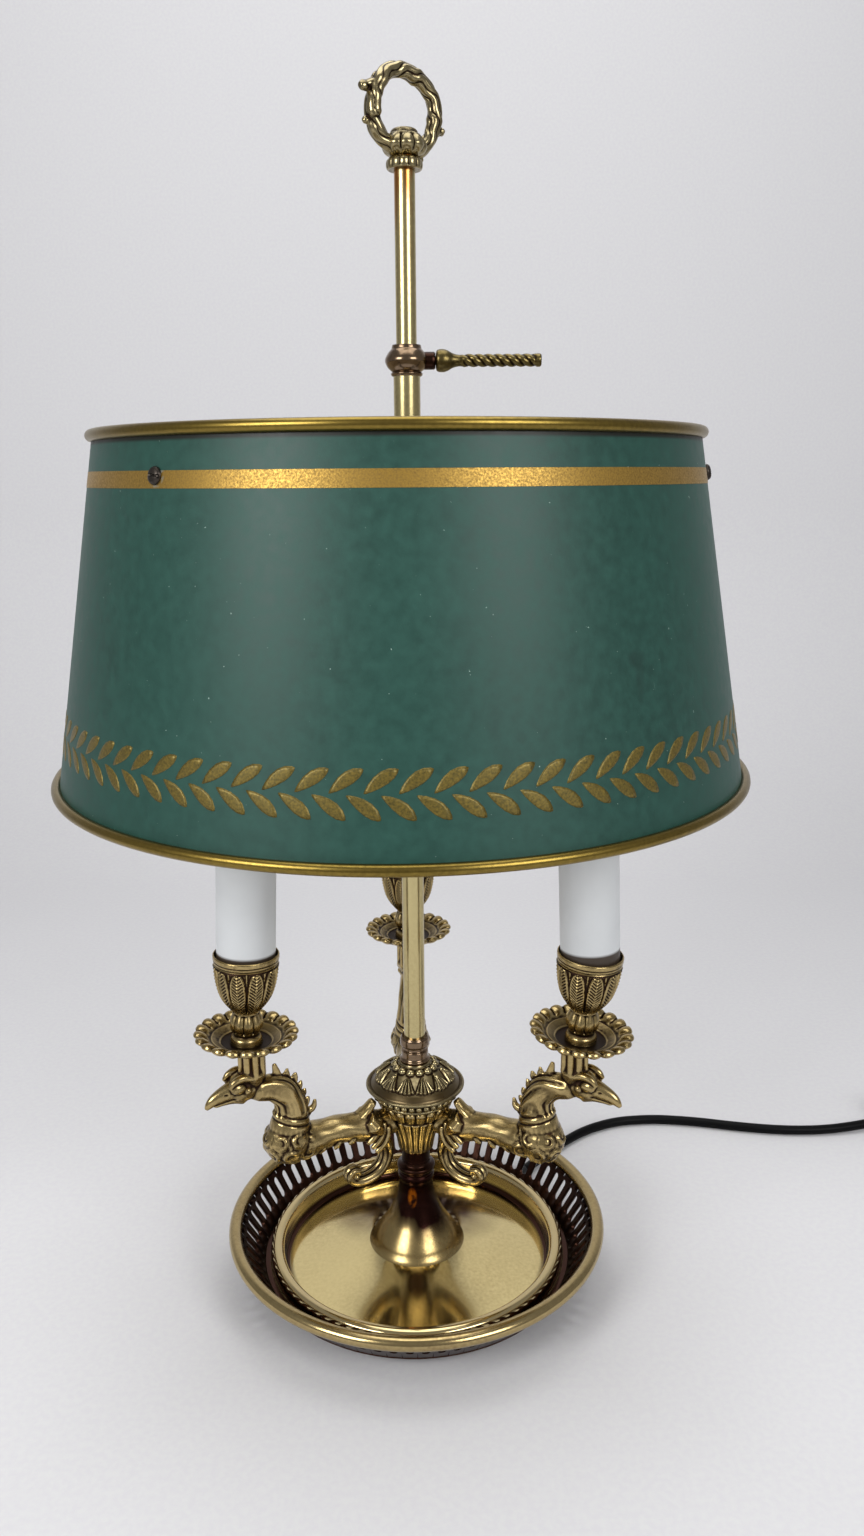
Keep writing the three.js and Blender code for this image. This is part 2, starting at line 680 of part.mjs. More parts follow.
function birdArm() {
  const [curlReach, curlHeight, curlRadius] = birdStations([curlShares])[0];
  const curlWidth = armDepth * curlWidthShare;
  const curl = new THREE.CylinderGeometry(curlRadius, curlRadius, curlWidth, leastSides)
    .translate(curlReach, 0, 0)
    .translate(0, 0, curlHeight);
  const stub = rodOf(stubRadius, birdBottom + armDepth * stubBottomShare, stubTop, leastSides).translate(
    armReach, 0, 0,
  );
  const bird = joined([
    limb(birdStations(bodyShares), leastSides),
    limb(birdStations(neckShares), leastSides),
    limb(birdStations(tailShares), rimSides, tailWidthShare),
    limb(birdStations(bracketShares), spikeSides),
    ...crestShares.map((spike) => limb(birdStations(spike), spikeSides, crestWidthShare)),
    curl,
    stub,
  ]);
  return carved(bird, [urnRoom()]);
}

// Candle pan, cup, sleeve, socket and bulb

const panShares = [[0.31, 0], [1, 0.86], [0.98, 1], [0.72, 0.64]];
function dripPan() {
  const outline = [
    [0, 0],
    ...outlineOf(panShares, panRadius, 0, panHeight),
    [cupShares[0][0] * cupRadius, panSeat],
    [0, panSeat],
  ];
  const pan = turned(outline, 2 * panLobes);
  const place = pan.getAttribute('position');
  for (let i = 0; i < place.count; i += 1) {
    const [x, y] = [place.getX(i), place.getY(i)];
    const radius = Math.hypot(x, y);
    const step = Math.round((Math.atan2(y, x) / Math.PI) * panLobes);
    if (radius < panRadius * 0.9 || step % 2 === 0) continue;
    const share = (radius - panLobeDepth) / radius;
    place.setXY(i, x * share, y * share);
  }
  return pan;
}

const cupShares = [
  [0.47, 0], [0.42, 0.09], [0.49, 0.18], [0.39, 0.36], [0.54, 0.41], [0.8, 0.52], [0.87, 0.66],
  [0.9, 0.82], [1, 0.94], [1, 1],
];
function candleCup() {
  const outline = [
    [0, 0],
    ...outlineOf(cupShares, cupRadius, 0, cupHeight),
    [cupBore, cupHeight],
    [cupBore, cupSeat],
    [cupPocket, cupSeat],
    [cupPocket, cupPocketFloor],
    [0, cupPocketFloor],
  ];
  return turned(outline, smallSides);
}

const sleeveSocketTop = sleeveLength - socketBelowSleeve;
function lampSocket(drop) {
  const outline = [
    [0, -drop],
    [socketNeck, -drop],
    [socketNeck, socketNeck],
    [socketRadius, 2 * socketNeck],
    [socketRadius, sleeveSocketTop],
    [socketBore, sleeveSocketTop],
    [socketBore, sleeveSocketTop - socketDepth],
    [0, sleeveSocketTop - socketDepth],
  ];
  return turned(outline, tinySides);
}

const capBottom = sleeveSocketTop - socketDepth + slack;
const capTop = capBottom + capLength;
const capPlugRadius = bulbNeck - bulbWall - slack;
function bulbCap() {
  const outline = [
    [0, capBottom],
    [socketNeck, capBottom],
    [capRadius, capBottom + capPlug],
    [capRadius, capTop],
    [capPlugRadius, capTop],
    [capPlugRadius, capTop + capPlug],
    [0, capTop + capPlug],
  ];
  return turned(outline, leastSides);
}

const bulbShares = [
  [0.395, 0], [0.41, 0.06], [0.9, 0.27], [1, 0.42], [0.87, 0.62], [0.46, 0.86], [0.2, 0.95],
];
function bulbGlass() {
  const bottom = capTop + slack;
  const outer = outlineOf(bulbShares, bulbRadius, bottom, bulbLength);
  const inner = outer.map(([radius, height], i) => [radius - bulbWall, i ? height - bulbWall / 4 : height]);
  const outline = [
    [0, bottom + bulbLength - bulbWall],
    ...inner.reverse(),
    ...outer,
    [0, bottom + bulbLength],
  ];
  return turned(outline, tinySides);
}

armAzimuths.forEach((azimuth, i) => {
  const number = i + 1;
  const arm = groupIn(lamp);
  arm.rotation.z = azimuth * degrees;
  add(arm, `bird_arm_${number}`, birdArm(), castBrass);

  const candle = groupIn(arm, [armReach, 0, stubTop]);
  candle.rotation.y = cupLeans[i] * degrees;
  const lift = slack + stubRadius * Math.sin(Math.abs(cupLeans[i]) * degrees);
  const pan = groupIn(candle, [0, 0, lift]);
  add(pan, `drip_pan_${number}`, dripPan(), castBrass);
  const cup = groupIn(pan, [0, 0, panSeat + slack]);
  add(cup, `candle_cup_${number}`, candleCup(), castBrass);

  const tilt = sleeveLeans[i] - cupLeans[i];
  const tip = Math.sin(Math.abs(tilt) * degrees);
  const sleeveBottom = cupSeat + slack + sleeveRadius * tip;
  const light = groupIn(cup, [0, 0, sleeveBottom]);
  light.rotation.y = tilt * degrees;
  const drop = sleeveBottom - cupPocketFloor - slack - socketNeck * tip;
  add(light, `candle_sleeve_${number}`,
    tubeOf(sleeveRadius, sleeveRadius - sleeveWall, 0, sleeveLength, smallSides), whiteSleeve);
  add(light, `lamp_socket_${number}`, lampSocket(drop), blackPlastic);
  add(light, `bulb_cap_${number}`, bulbCap(), zincSteel);
  add(light, `bulb_glass_${number}`, bulbGlass(), clearGlass);
});

// Carrier: the tube that slides on the rod, with its ball collar and clamp key

const keyHole = barAlongX(keyShank + slack, 0, bossReach + overrun, tinySides).translate(0, 0, ballHeight);
const flangeBottom = hubBottom + hubHeight + slack;
const carrierOutline = [
  [carrierBore, carrierBottom],
  [carrierRadius, carrierBottom],
  [carrierRadius, flangeBottom],
  [flangeRadius, flangeBottom],
  [flangeRadius, flangeBottom + flangeThickness],
  [carrierRadius, flangeBottom + flangeThickness],
  [carrierRadius, carrierTop],
  [carrierBore, carrierTop],
];
add(lamp, 'carrier_tube', carved(turned(carrierOutline, smallSides), [keyHole]), tubeBrass);

const ballShares = [
  [0.68, 0], [0.68, 0.1], [0.62, 0.14], [0.85, 0.27], [1, 0.5], [0.85, 0.73], [0.76, 0.86], [0.82, 0.9],
  [0.82, 1],
];
function ballCollar() {
  const bottom = ballHeight - ballDepth / 2;
  const bore = carrierRadius + slack;
  const ball = turnedRing(ballShares, ballRadius, bottom, ballDepth, bore, smallSides);
  const boss = barAlongX(bossRadius, (bore + ballRadius) / 2, bossReach, tinySides);
  boss.translate(0, 0, ballHeight);
  return carved(joined([ball, boss]), [keyHole]);
}
add(lamp, 'ball_collar', ballCollar(), tarnishedBrass);

// The key is turned about +X: a plain shank, a cup-shaped head and a handle twisted like rope.
const keyHeadShares = [[0.4, 0], [0.9, 0.08], [1, 0.3], [0.95, 0.5], [0.6, 0.8], [0.5, 1]];
const keyLobeShare = 0.78;
function clampKey() {
  const headStart = bossReach + slack;
  const headEnd = headStart + keyHeadLength;
  const head = turned(
    [[0, headStart], ...outlineOf(keyHeadShares, keyHeadRadius, headStart, keyHeadLength), [0, headEnd]],
    tinySides,
  ).rotateY(Math.PI / 2);
  const shank = barAlongX(keyShank, slideRodRadius + slack, headStart + keyHeadLength / 2, tinySides);
  const handleStart = headEnd - keyHandleRadius;
  const rings = Array.from({ length: keySteps + 1 }, (_, i) => {
    const share = i / keySteps;
    const x = handleStart + (keyReach - handleStart) * share;
    return Array.from({ length: keySides }, (__, k) => {
      const turn = (k / keySides + keyTwists * share) * 2 * Math.PI;
      const radius = keyHandleRadius * (k % 2 ? keyLobeShare : 1);
      return new THREE.Vector3(x, radius * Math.cos(turn), radius * Math.sin(turn));
    });
  });
  return joined([shank, head, skinned(rings)]);
}
add(groupIn(lamp, [0, 0, ballHeight]), 'clamp_key', clampKey(), polishedBrass);

// Shade: spider, drum, wire rims and screws

const shadeSlope = (shadeBottomRadius - shadeTopRadius) / (shadeTop - shadeBottom);
const shadeRadiusAt = (height) => shadeTopRadius + (shadeTop - height) * shadeSlope;
const shadeTilt = Math.atan(shadeSlope);
const spokeTurns = [0, 1, 2].map((i) => (spokeAzimuth + 120 * i) * degrees);

// Moves a piece made along +X from the sheet's face out to a screw's place.
const atScrew = (geometry, turn) =>
  geometry
    .rotateY(-shadeTilt)
    .translate(shadeRadiusAt(screwHeight), 0, screwHeight)
    .rotateZ(turn)
    .translate(shadeAside, 0, 0);
const screwHole = () => barAlongX(screwRadius + slack, -screwLength - overrun, overrun, leastSides);
const screwHoles = () => spokeTurns.map((turn) => atScrew(screwHole(), turn));

function shadeSpider() {
  const hubTop = hubBottom + hubHeight;
  const facetShare = Math.cos(Math.PI / wideSides); // the drum's facets stand inside its true circle
  const inside = (height) =>
    (shadeRadiusAt(height) - shadeSheet / Math.cos(shadeTilt)) * facetShare - slack;
  const spokeStart = hubRadius - overrun - Math.abs(shadeAside);
  const spoke = (turn) => {
    const side = new THREE.Shape([
      new THREE.Vector2(spokeStart, hubTop - spokeThickness),
      new THREE.Vector2(inside(hubTop - spokeThickness), hubTop - spokeThickness),
      new THREE.Vector2(inside(tabTop), tabTop),
      new THREE.Vector2(inside(tabTop) - spokeThickness, tabTop),
      new THREE.Vector2(inside(hubTop) - spokeThickness, hubTop),
      new THREE.Vector2(spokeStart, hubTop),
    ]);
    return new THREE.ExtrudeGeometry(side, { depth: spokeWidth, bevelEnabled: false })
      .rotateX(Math.PI / 2)
      .translate(0, spokeWidth / 2, 0)
      .rotateZ(turn)
      .translate(shadeAside, 0, 0);
  };
  const hub = rodOf(hubRadius, hubBottom, hubTop, smallSides);
  const bore = rodOf(carrierRadius + slack, hubBottom - overrun, hubTop + overrun, smallSides);
  return carved(joined([hub, ...spokeTurns.map(spoke)]), [bore, ...screwHoles()]);
}
add(lamp, 'shade_spider', shadeSpider(), darkSteel);
const nutFace = hubBottom - slack;
add(lamp, 'ring_nut',
  tubeOf(ringNutRadius, carrierRadius + slack, nutFace - ringNutHeight, nutFace, tinySides), tarnishedBrass);

const edgeShare = 0.87; // the sheet's lower edge stands beside the top of the lower rim
function shadeDrum() {
  const [low, high] = [shadeBottom + rimRoll * edgeShare, shadeTop - rimRoll - slack];
  const sheet = shadeSheet / Math.cos(shadeTilt);
  const outline = [
    [shadeRadiusAt(low) - sheet, low],
    [shadeRadiusAt(low), low],
    [shadeRadiusAt(high), high],
    [shadeRadiusAt(high) - sheet, high],
  ];
  return carved(turned(outline, wideSides).translate(shadeAside, 0, 0), screwHoles());
}
add(lamp, 'shade_drum', shadeDrum(), greenPaint);

const lastSide = 360 - 360 / rimSides;
const wireRim = (radius, height) =>
  turned(arc([radius, height], rimRoll, 0, lastSide, rimSides - 1), wideSides).translate(shadeAside, 0, 0);
add(lamp, 'shade_rim_top', wireRim(upperRimRadius, shadeTop), giltPaint);
add(lamp, 'shade_rim_bottom', wireRim(lowerRimRadius, shadeBottom), giltPaint);

spokeTurns.forEach((turn, i) => {
  const head = turned(
    [[0, -screwLength], [screwRadius, -screwLength], [screwRadius, slack], [screwHeadRadius, slack],
      [screwHeadRadius, slack + screwHeadHeight / 2], [screwRadius, slack + screwHeadHeight],
      [0, slack + screwHeadHeight]],
    leastSides,
  ).rotateY(Math.PI / 2);
  add(lamp, `shade_screw_${i + 1}`, atScrew(head, turn), darkSteel);
});

// Cord: outlet, lead, switch, tail, coil, tie, end and plug

function cordOutlet() {
  const inner = dishFootRadius - footRingWall;
  const outer = dishFootRadius + footRingWall / 2 + slack;
  const outline = [
    [0, inner],
    [outletShank, inner],
    [outletShank, outer],
    [outletWide, outer],
    [outletWide, outer + slack],
    [outletNarrow, outer + outletLength],
    [0, outer + outletLength],
  ];
  return turned(outline, leastSides).rotateY(Math.PI / 2);
}
const outletPlace = groupIn(lamp, [0, 0, outletHeight]);
outletPlace.rotation.z = outletAzimuth * degrees;
add(outletPlace, 'cord_outlet', cordOutlet(), blackPlastic);
add(lamp, 'cord_lead', cordAlong(leadRoute), cordPlastic);
add(lamp, 'cord_tail', cordAlong(tailRoute), cordPlastic);
add(lamp, 'cord_end', cordAlong(endRoute), cordPlastic);

// The coil spirals in on the lower layer, climbs during the half turn where it reverses, and spirals
// out again on the upper layer. Each end runs straight for one cord diameter.
class Coil extends THREE.Curve {
  onSpiral(share) {
    const turns = coilTurns * share;
    const fromMiddle = turns - coilTurns / 2;
    const radius = coilMeanRadius + (Math.abs(fromMiddle) - coilTurns / 4) * coilPitch;
    const climb = THREE.MathUtils.smoothstep(fromMiddle, -0.25, 0.25);
    const turn = coilStart * degrees - turns * 2 * Math.PI;
    return new THREE.Vector3(
      coilCentre[0] + radius * Math.cos(turn),
      coilCentre[1] + radius * Math.sin(turn),
      coilHeight + climb * coilPitch,
    );
  }

  getPoint(t, target = new THREE.Vector3()) {
    const run = coilMeanRadius * coilTurns * 2 * Math.PI;
    const at = t * (run + 2 * cordDiameter) - cordDiameter;
    const share = THREE.MathUtils.clamp(at / run, 0, 1);
    const point = this.onSpiral(share);
    const beyond = at - share * run;
    if (beyond !== 0) {
      const nudge = Math.sign(beyond) / (coilTurns * 360);
      const along = this.onSpiral(share).sub(this.onSpiral(share - nudge)).normalize();
      point.addScaledVector(along, Math.abs(beyond));
    }
    return target.copy(point);
  }
}

// Least distance between the surfaces of turns that lie beside or on one another.
function leastGap(curve, samples) {
  const points = curve.getSpacedPoints(samples);
  const apart = Math.ceil((3 * cordDiameter * samples) / curve.getLength());
  let least = Infinity;
  points.forEach((a, i) => {
    for (let j = i + apart; j < points.length; j += 1) least = Math.min(least, a.distanceTo(points[j]));
  });
  return least - cordDiameter;
}

const coil = new Coil();
coil.arcLengthDivisions = 2000;
const coilSteps = Math.ceil(coilTurns * coilStepsPerTurn);
add(lamp, 'cord_coil', tubeAlong(coil, coilSides, coilSteps), cordPlastic);
console.log(`cord_coil: ${coil.getLength().toFixed(1)} mm long, least gap to itself`
  + ` ${leastGap(coil, 1500).toFixed(2)} mm`);

// The tie is a flat band round the whole bundle, one side of it under the cord.
function cordTie() {
  const spread = (coilTurns / 4) * coilPitch + cordRadius + slack;
  const bottom = coilHeight - cordRadius - slack;
  const height = coilPitch + cordDiameter + 2 * slack;
  const outer = rectangle(2 * (spread + tieThickness), height + 2 * tieThickness).getPoints().reverse();
  const band = new THREE.Shape(outer);
  band.holes = [rectangle(2 * spread, height)];
  return new THREE.ExtrudeGeometry(band, { depth: tieWidth, bevelEnabled: false })
    .rotateX(Math.PI / 2)
    .translate(coilMeanRadius, tieWidth / 2, bottom + height / 2);
}
const tiePlace = groupIn(lamp, [...coilCentre, 0]);
tiePlace.rotation.z = tieAzimuth * degrees;
add(tiePlace, 'cord_tie', solidOf(cordTie()), blackPlastic);

// Switch: two shells and a rocker that tilts in the upper one
const switchPlace = groupIn(lamp, [...switchCentre, 0]);
switchPlace.rotation.z = switchTurn * degrees;
const shellCorner = switchWidth / 3;
const well = rectangle(rockerLength + 2 * slack, rockerWidth + 2 * slack);
add(switchPlace, 'switch_body', solidOf(plate(switchLength, switchWidth, shellCorner, 0, switchHalfHeight)),
  blackPlastic);
add(switchPlace, 'switch_cover',
  solidOf(plate(switchLength, switchWidth, shellCorner, switchHalfHeight, switchHalfHeight, [well])),
  blackPlastic);

function rocker() {
  const half = rockerLength / 2;
  const droop = half * Math.sin(rockerTilt * degrees);
  const top = rockerHeight - rockerBelow;
  const side = new THREE.Shape([
    new THREE.Vector2(droop - half, -rockerBelow),
    new THREE.Vector2(half - droop, -rockerBelow),
    new THREE.Vector2(half - slack, top),
    new THREE.Vector2(0, top - droop),
    new THREE.Vector2(slack - half, top),
  ]);
  return new THREE.ExtrudeGeometry(side, { depth: rockerWidth, bevelEnabled: false })
    .rotateX(Math.PI / 2)
    .translate(0, rockerWidth / 2, 0);
}
const rockerPlace = groupIn(switchPlace, [0, 0, rockerPivot]);
rockerPlace.rotation.y = -rockerTilt * degrees;
add(rockerPlace, 'switch_rocker', solidOf(rocker()), blackPlastic);

// Plug: a flat moulded body with a tapered neck and two round pins
const plugPlace = groupIn(lamp, [...plugStart, plugThickness / 2]);
plugPlace.rotation.z = plugTurn * degrees;
const noseAt = plugNeckLength + plugBodyLength;
const pinAt = (side) => (side * pinSpacing) / 2;
function plugBody() {
  const outline = new THREE.Shape([
    new THREE.Vector2(plugNeckLength, -plugWidth / 4),
    new THREE.Vector2(plugNeckLength + plugWidth / 4, -plugWidth / 2),
    new THREE.Vector2(noseAt, -plugNose / 2),
    new THREE.Vector2(noseAt, plugNose / 2),
    new THREE.Vector2(plugNeckLength + plugWidth / 4, plugWidth / 2),
    new THREE.Vector2(plugNeckLength, plugWidth / 4),
  ]);
  const body = new THREE.ExtrudeGeometry(outline, { depth: plugThickness, bevelEnabled: false }).translate(
    0, 0, -plugThickness / 2,
  );
  const neckEnd = plugNeckLength + overrun;
  const neckOutline = [[0, 0], [cordRadius + slack, 0], [plugNeckRadius, neckEnd], [0, neckEnd]];
  const neck = turned(neckOutline, tinySides).rotateY(Math.PI / 2);
  const holes = [-1, 1].map((side) =>
    barAlongX(pinRadius + slack, noseAt - pinHold - slack, noseAt + overrun, tinySides).translate(
      0, pinAt(side), 0,
    ),
  );
  return carved(joined([body, neck]), holes);
}
add(plugPlace, 'plug_body', plugBody(), blackPlastic);
[-1, 1].forEach((side, i) => {
  const from = noseAt - pinHold;
  const to = noseAt + pinLength;
  const outline = [[0, from], [pinRadius, from], [pinRadius, to - pinRadius], [pinRadius / 2, to], [0, to]];
  const pin = turned(outline, leastSides).rotateY(Math.PI / 2);
  add(plugPlace, `plug_pin_${i + 1}`, pin.translate(0, pinAt(side), 0), zincSteel);
});

export default lamp;
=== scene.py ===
# %% [markdown]
# # A bouillotte lamp in Blender
#
# This lamp is a turned and cast brass table lamp: a pierced dish, an urn, three birds that
# carry candle lights, and a painted metal shade that slides on a rod. The solid model of it
# is already made and measured. Here each part gets its real shape and finish.
#
# Everything below is written in millimetres and turned to Blender's metres at the last moment,
# because the sizes of a lamp are easier to read in millimetres.

# %% Load the solid model
import math
import bpy
import bmesh
import numpy as np
from mathutils import Matrix, Vector


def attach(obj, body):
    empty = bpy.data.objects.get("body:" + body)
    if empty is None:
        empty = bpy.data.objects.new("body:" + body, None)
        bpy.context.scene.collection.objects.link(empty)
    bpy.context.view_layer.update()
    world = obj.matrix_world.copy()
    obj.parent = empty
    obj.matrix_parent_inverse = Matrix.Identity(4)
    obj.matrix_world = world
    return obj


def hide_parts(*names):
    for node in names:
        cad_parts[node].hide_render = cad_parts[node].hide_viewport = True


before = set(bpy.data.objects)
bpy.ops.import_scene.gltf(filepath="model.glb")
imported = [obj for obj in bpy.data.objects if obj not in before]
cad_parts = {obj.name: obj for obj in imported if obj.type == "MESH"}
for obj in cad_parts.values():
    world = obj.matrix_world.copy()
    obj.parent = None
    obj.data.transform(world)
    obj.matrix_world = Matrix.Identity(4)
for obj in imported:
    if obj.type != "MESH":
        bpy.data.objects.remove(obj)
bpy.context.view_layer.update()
MM = 0.001

# %% [markdown]
# ## The camera
#
# The picture was taken from a little above the dish, at the height of the shade's lower half.
# A camera is a place, a direction and a focal length. The place and the direction were found by
# matching the rims of the shade and of the dish, which show as ellipses: the flatter an
# ellipse, the nearer the eye is to its height.

# %% Camera
def aim(place, pitch, yaw, roll):
    """Camera matrix that looks along +Y, pitched down, turned to the right and rolled, in radians."""
    forward = Vector((math.sin(yaw) * math.cos(pitch), math.cos(yaw) * math.cos(pitch), -math.sin(pitch)))
    right = Vector((math.cos(yaw), -math.sin(yaw), 0))
    up = right.cross(forward)
    rolled_right = right * math.cos(roll) + up * math.sin(roll)
    rolled_up = up * math.cos(roll) - right * math.sin(roll)
    turn = Matrix((rolled_right, rolled_up, -forward)).transposed()
    return Matrix.Translation(Vector(place) * MM) @ turn.to_4x4()

lens = bpy.data.cameras.new("camera")
lens.sensor_fit, lens.sensor_height, lens.lens = "VERTICAL", 36, 27.311
camera = bpy.data.objects.new("camera", lens)
camera.matrix_world = aim((1.596, -515.65, 388.53), 0.2454, 0.0151, -0.0073)
bpy.context.scene.collection.objects.link(camera)
bpy.context.scene.camera = camera
print("camera", [round(v, 3) for v in camera.location])

# %% [markdown]
# ## The cord
#
# A table lamp's flex is a round plastic-sheathed cable, here 5.4 mm thick. It leaves the foot
# ring at the back, crosses the table to a small rocker switch, and what is left over lies in a
# flat coil of two layers, held by a tie, with the plug beside it. A curve with a round bevel
# makes it in one stroke: each knot holds where its middle lies and the cord's radius.

# %% Cord routes
CORD = 5.4
lead_route = [
    (61.6, 73.4, 4), (67.4, 80.2, 3.6), (74.9, 89.1, 3.0), (83.6, 98.6, 2.8), (92.8, 107.3, 2.8),
    (102.6, 114.9, 2.8), (113.9, 120.9, 2.8), (124.8, 124.6, 2.8), (136, 126.1, 2.8),
    (147, 126.4, 2.8), (157.6, 125.4, 2.8), (174.4, 122.4, 2.8), (189.1, 118.7, 2.8),
    (204.2, 115.3, 2.8), (220.4, 112.7, 2.8), (235.4, 111.8, 2.8), (250.2, 112.3, 3.0),
    (261.2, 113.6, 3.4), (272.6, 115.4, 4.1), (280.1, 116.5, 4.8), (287.5, 117.55, 5)]
tail_route = [(345.3, 125.73, 5), (349.0, 126.2, 4.95), (355.3, 126.1, 4.7), (362.3, 123.5, 4.3),
    (368.0, 118.7, 3.9), (371.8, 112.2, 3.75), (373.2, 104.8, 3.7), (373.6, 97.5, 3.7), (373.6, 90.6, 3.7),
    (373.8, 82, 3.7), (374.9, 76.2, 3.7), (376.0, 72.1, 3.7)]
end_route = [(354.9, 13.1, 9.7), (346.4, 8.1, 9.4), (337.9, 3.1, 8), (333.57, 0.62, 7.1),
    (329.24, -1.88, 6.85)]

COIL_CENTRE, COIL_RADIUS, COIL_TURNS, COIL_PITCH = (339, 52), 32.4, 6 + 80 / 360, 6.0
COIL_START, COIL_HEIGHT, POINTS_A_TURN = 20, 3.7, 16

def coil_route():
    """Two flat layers of turns: inwards on the table, then up one layer and outwards again."""
    points = []
    steps = round(COIL_TURNS * POINTS_A_TURN)
    for i in range(steps + 1):
        turns = COIL_TURNS * i / steps
        past_middle = turns - COIL_TURNS / 2
        radius = COIL_RADIUS + (abs(past_middle) - COIL_TURNS / 4) * COIL_PITCH
        climb = min(max((past_middle + 0.25) / 0.5, 0), 1)
        height = COIL_HEIGHT + climb * climb * (3 - 2 * climb) * COIL_PITCH
        angle = math.radians(COIL_START - 360 * turns)
        points.append((COIL_CENTRE[0] + radius * math.cos(angle), COIL_CENTRE[1] + radius * math.sin(angle),
            height))
    return points

coil_points = coil_route()
print("cord points:", len(lead_route), len(tail_route) + len(coil_points) + len(end_route))

# %% Cord curves
def cord_curve(name, route, diameter):
    """A curve through the route, in millimetres. Each knot holds the cord's radius."""
    data = bpy.data.curves.new(name, "CURVE")
    data.dimensions, data.resolution_u = "3D", 6
    data.bevel_depth, data.bevel_resolution, data.use_fill_caps = 1, 4, True
    spline = data.splines.new("BEZIER")
    spline.bezier_points.add(len(route) - 1)
    for knot, place in zip(spline.bezier_points, route):
        knot.co, knot.radius = Vector(place) * MM, diameter / 2 * MM
        knot.handle_left_type = knot.handle_right_type = "AUTO"
    cord = bpy.data.objects.new(name, data)
    bpy.context.scene.collection.objects.link(cord)
    return cord

def line_length(cord):
    """Length of a curve's own line, in metres, measured on a copy without thickness."""
    bare = cord.data.copy()
    bare.bevel_depth = 0
    probe = bpy.data.objects.new("probe", bare)
    bpy.context.scene.collection.objects.link(probe)
    points = [v.co.copy() for v in probe.to_mesh().vertices]
    probe.to_mesh_clear()
    bpy.data.objects.remove(probe)
    return sum((b - a).length for a, b in zip(points, points[1:]))

lead_cord = cord_curve("lead_cord", lead_route, CORD)
coil_cord = cord_curve("coil_cord", tail_route + coil_points + end_route, CORD)
lead_length, coil_length = line_length(lead_cord), line_length(coil_cord)
print("cord lengths, m:", round(lead_length, 3), round(coil_length, 3))

# %% [markdown]
# ## Small tools for finishes
#
# Paint charts and photographs give colours as sRGB hex values, while Blender's shaders count in
# linear light, so one function turns the first into the second. A second function adds a node
# to a material, sets its options and wires it, so that a recipe reads as a short list.

# %% Colour and node helpers
def paint(hex_value):
    """An sRGB hex colour as linear RGBA."""
    channels = [int(hex_value[i:i + 2], 16) / 255 for i in (1, 3, 5)]
    return tuple(c / 12.92 if c <= 0.04045 else ((c + 0.055) / 1.055) ** 2.4 for c in channels) + (1,)

def add(tree, kind, wires={}, values={}, **options):
    """Adds a node. values sets its sockets, wires links them from other nodes' sockets."""
    node = tree.nodes.new(kind)
    for name, option in options.items():
        setattr(node, name, option)
    for socket, value in values.items():
        node.inputs[socket].default_value = value
    for socket, source in wires.items():
        tree.links.new(source, node.inputs[socket])
    return node

def blank(name):
    """A new material with its Principled shader: (material, node tree, shader)."""
    made = bpy.data.materials.new(name)
    made.use_nodes = True
    return made, made.node_tree, made.node_tree.nodes["Principled BSDF"]

def blend_colours(tree, factor, first, second):
    """Colour socket of a mix of two colours. Each is a socket or a linear RGBA."""
    node = tree.nodes.new("ShaderNodeMix")
    node.data_type, node.clamp_factor = "RGBA", True
    for socket, source in ((node.inputs[0], factor), (node.inputs[6], first), (node.inputs[7], second)):
        if isinstance(source, bpy.types.NodeSocket):
            tree.links.new(source, socket)
        else:
            socket.default_value = source
    return node.outputs[2]

def ramp(tree, source, low, high):
    """The source socket, 0 at low and 1 at high, held outside them."""
    node = add(tree, "ShaderNodeMapRange", {0: source}, {1: low, 2: high})
    return node.outputs[0]

def grain(tree, size, detail=4, stretch=(1, 1, 1)):
    """Noise whose blotches are about size millimetres across, in the lamp's own space."""
    place = add(tree, "ShaderNodeTexCoord").outputs["Object"]
    scaled = add(tree, "ShaderNodeMapping", {0: place}, {3: stretch}).outputs[0]
    return add(tree, "ShaderNodeTexNoise", {"Vector": scaled},
               {"Scale": 0.5 / (size * MM), "Detail": detail}).outputs["Fac"]

def relief(tree, shader, height, depth, distance=0.1):
    """Bumps the shader by a height socket. distance is the bump's real height in millimetres."""
    node = add(tree, "ShaderNodeBump", {"Height": height}, {"Strength": depth, "Distance": distance * MM})
    tree.links.new(node.outputs[0], shader.inputs["Normal"])

# %% [markdown]
# ## The room
#
# The lamp stands on a pale grey table in front of a pale wall. One sheet that sweeps up behind
# it, as in a photographer's studio, gives both without a line where they meet. The eye sees
# through the sheet's back, so the lamp can be looked at from behind too. The lights are soft: one
# on each side of the viewer and a broad one above, with the pale room all round for the brass to
# mirror.

# %% Sweep and lights
def sweep(depth_front, depth_back, half_width, height, bend):
    """A floor that bends up into a wall, as one smooth sheet, in millimetres."""
    outline = [(-depth_front, 0), (depth_back - bend, 0)]
    outline += [(depth_back - bend + bend * math.sin(a), bend * (1 - math.cos(a)))
                for a in (math.radians(6 * i) for i in range(1, 16))]
    outline += [(depth_back, height)]
    mesh = bpy.data.meshes.new("sweep")
    corners = [(x * MM, y * MM, z * MM) for y, z in outline for x in (-half_width, half_width)]
    faces = [(2 * i, 2 * i + 1, 2 * i + 3, 2 * i + 2) for i in range(len(outline) - 1)]
    mesh.from_pydata(corners, [], faces)
    mesh.polygons.foreach_set("use_smooth", [True] * len(mesh.polygons))
    made = bpy.data.objects.new("sweep", mesh)
    bpy.context.scene.collection.objects.link(made)
    return made

